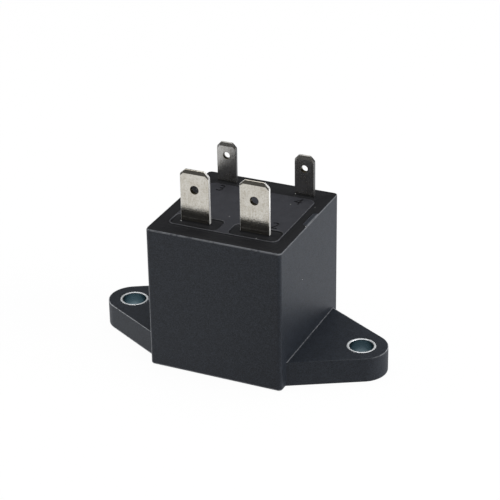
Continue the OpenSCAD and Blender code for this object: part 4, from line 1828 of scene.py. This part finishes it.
@dataclass(frozen=True)
class Lamp:
    """A soft square lamp: where it hangs, the length of its sides, and its power in watts."""

    name: str
    place: Place
    size: float
    power: float

    def hang(self, aim: Vector) -> None:
        """Hangs the lamp.

        Args:
            aim: The point that it faces.
        """
        light = bpy.data.lights.new(self.name, "AREA")
        light.shape, light.size, light.energy = "SQUARE", self.size * MM, self.power
        place = Vector(self.place)
        turned = (place - aim).to_track_quat("Z", "Y")
        link(self.name, light).matrix_world = Matrix.LocRotScale(place * MM, turned, None)


@dataclass
class Studio:
    """The pale floor, the soft lamps and the camera.

    To the camera the floor is white. A mirror sees it pale, with the object's own shade at one
    place, and dim from the paper's edge on.
    """

    azimuth: float = 24.546
    elevation: float = 26.993
    roll: float = -0.843
    distance: float = 376.68
    lens: float = 132.646
    sensor: float = 36.0
    clip: tuple[float, float] = (0.01, 20.0)
    aim: Vector = field(default_factory=lambda: Vector((1.355, 0.0, 22.346)))
    room: float = 0.1
    floor_half: float = 3000.0
    floor_drop: float = 0.02
    white_level: float = 1.015
    glow_share: float = 0.94
    dull_colour: Colour = (0.86, 0.86, 0.86, 1.0)
    paper_tint: Colour = (0.975, 0.995, 1.04, 1.0)
    paper_level: float = 0.86
    paper_edge: float = 180.0
    shade_at: Vector = field(default_factory=lambda: Vector((38.0, -36.0, 0.0)))
    shade_spread: float = 27.0
    shade_depth: float = 0.8
    far_edge: float = 300.0
    far_level: float = 0.08
    lamps: tuple[Lamp, ...] = (
        Lamp("overhead_softbox", (0.0, 60.0, 700.0), 800.0, 3.6),
        Lamp("left_softbox", (-620.0, -90.0, 470.0), 400.0, 1.05),
        Lamp("front_left_softbox", (-420.0, -380.0, 430.0), 400.0, 0.2),
        Lamp("right_softbox", (650.0, 60.0, 300.0), 400.0, 3.15),
    )

    def camera(self) -> None:
        """Stands the camera where the photograph was taken from."""
        side, lift = math.radians(self.azimuth), math.radians(self.elevation)
        back = Vector((math.sin(side) * math.cos(lift), -math.cos(side) * math.cos(lift), math.sin(lift)))
        lens = bpy.data.cameras.new("camera")
        lens.lens, lens.sensor_width = self.lens, self.sensor
        lens.clip_start, lens.clip_end = self.clip
        level = back.to_track_quat("Z", "Y").to_matrix()
        turned = level @ Matrix.Rotation(math.radians(self.roll), 3, "Z")
        camera = link("camera", lens)
        camera.matrix_world = Matrix.LocRotScale((self.aim + self.distance * back) * MM, turned, None)
        bpy.context.scene.camera = camera

    def mirror_level(self, board: Board) -> Socket:
        """Works out how bright a mirror shows the floor.

        Args:
            board: The floor's tree.

        Returns:
            The level's socket.
        """
        metres = board.add("ShaderNodeTexCoord").outputs["Object"]
        far = board.between(board.distance(metres), self.paper_edge * MM, self.far_edge * MM)
        away = board.distance(metres, self.shade_at * MM)
        spreads = board.maths("POWER", board.maths("DIVIDE", away, self.shade_spread * MM), 2.0)
        shade = board.maths("EXPONENT", board.times(spreads, -0.5))
        near = board.times(board.less(1.0, board.times(shade, self.shade_depth)), self.paper_level)
        return board.mix(far, near, self.far_level)

    def paper(self) -> bpy.types.Material:
        """Makes the floor's material, which glows to the camera and in mirrors, and else is dull.

        Returns:
            The material.
        """
        paper = bpy.data.materials.new("pale_paper")
        board = Board(emptied(paper))
        path = board.add("ShaderNodeLightPath").outputs
        direct = path["Is Camera Ray"]
        mirrored = board.maths("MAXIMUM", path["Is Glossy Ray"], path["Is Transmission Ray"])
        glow = board.add("ShaderNodeEmission", {
            "Color": board.blend(direct, self.paper_tint, WHITE),
            "Strength": board.mix(direct, self.mirror_level(board), self.white_level),
        })
        dull = board.add("ShaderNodeBsdfDiffuse", {"Color": self.dull_colour})
        share = board.times(board.maths("MAXIMUM", direct, mirrored), self.glow_share)
        mixed = board.add("ShaderNodeMixShader", {0: share, 1: dull.outputs[0], 2: glow.outputs[0]})
        board.add("ShaderNodeOutputMaterial", {"Surface": mixed.outputs[0]})
        return paper

    def floor(self) -> None:
        """Lays the floor just below the object."""
        shape = bmesh.new()
        bmesh.ops.create_grid(shape, x_segments=1, y_segments=1, size=self.floor_half * MM)
        mesh = bpy.data.meshes.new("floor")
        shape.to_mesh(mesh)
        shape.free()
        mesh.transform(Matrix.Translation(-self.floor_drop * MM * UP))
        mesh.materials.append(self.paper())
        link("floor", mesh)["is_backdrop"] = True

    def world(self) -> None:
        """Makes the room white to the camera and dark to the object."""
        world = bpy.data.worlds.new("room")
        board = Board(emptied(world))
        direct = board.add("ShaderNodeLightPath").outputs["Is Camera Ray"]
        level = board.plus(self.room, board.times(direct, 1.0 - self.room))
        glow = board.add("ShaderNodeBackground", {"Color": WHITE, "Strength": level})
        board.add("ShaderNodeOutputWorld", {"Surface": glow.outputs[0]})
        bpy.context.scene.world = world

    def build(self) -> None:
        """Sets the camera, the floor, the room and the lamps."""
        bpy.context.scene.view_settings.view_transform = "Standard"
        self.camera()
        self.floor()
        self.world()
        for lamp in self.lamps:
            lamp.hang(self.aim)


def main() -> None:
    """Builds the studio and every sub-assembly in order, and reports each piece."""
    logging.basicConfig(level=logging.INFO, format="%(message)s")
    case, load_tabs, coil_tabs = Case(), LoadTabs(), CoilTabs()
    top = TerminalTop(case, load_tabs, coil_tabs)
    for assembly in (Studio(), case, top, load_tabs, coil_tabs, Sleeves(), Mechanism()):
        known = {piece.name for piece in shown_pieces()}
        assembly.build()
        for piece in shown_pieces():
            if piece.name not in known:
                log.info("built %s: %d faces", piece.name, len(piece.data.polygons))


if __name__ == "__main__":
    main()
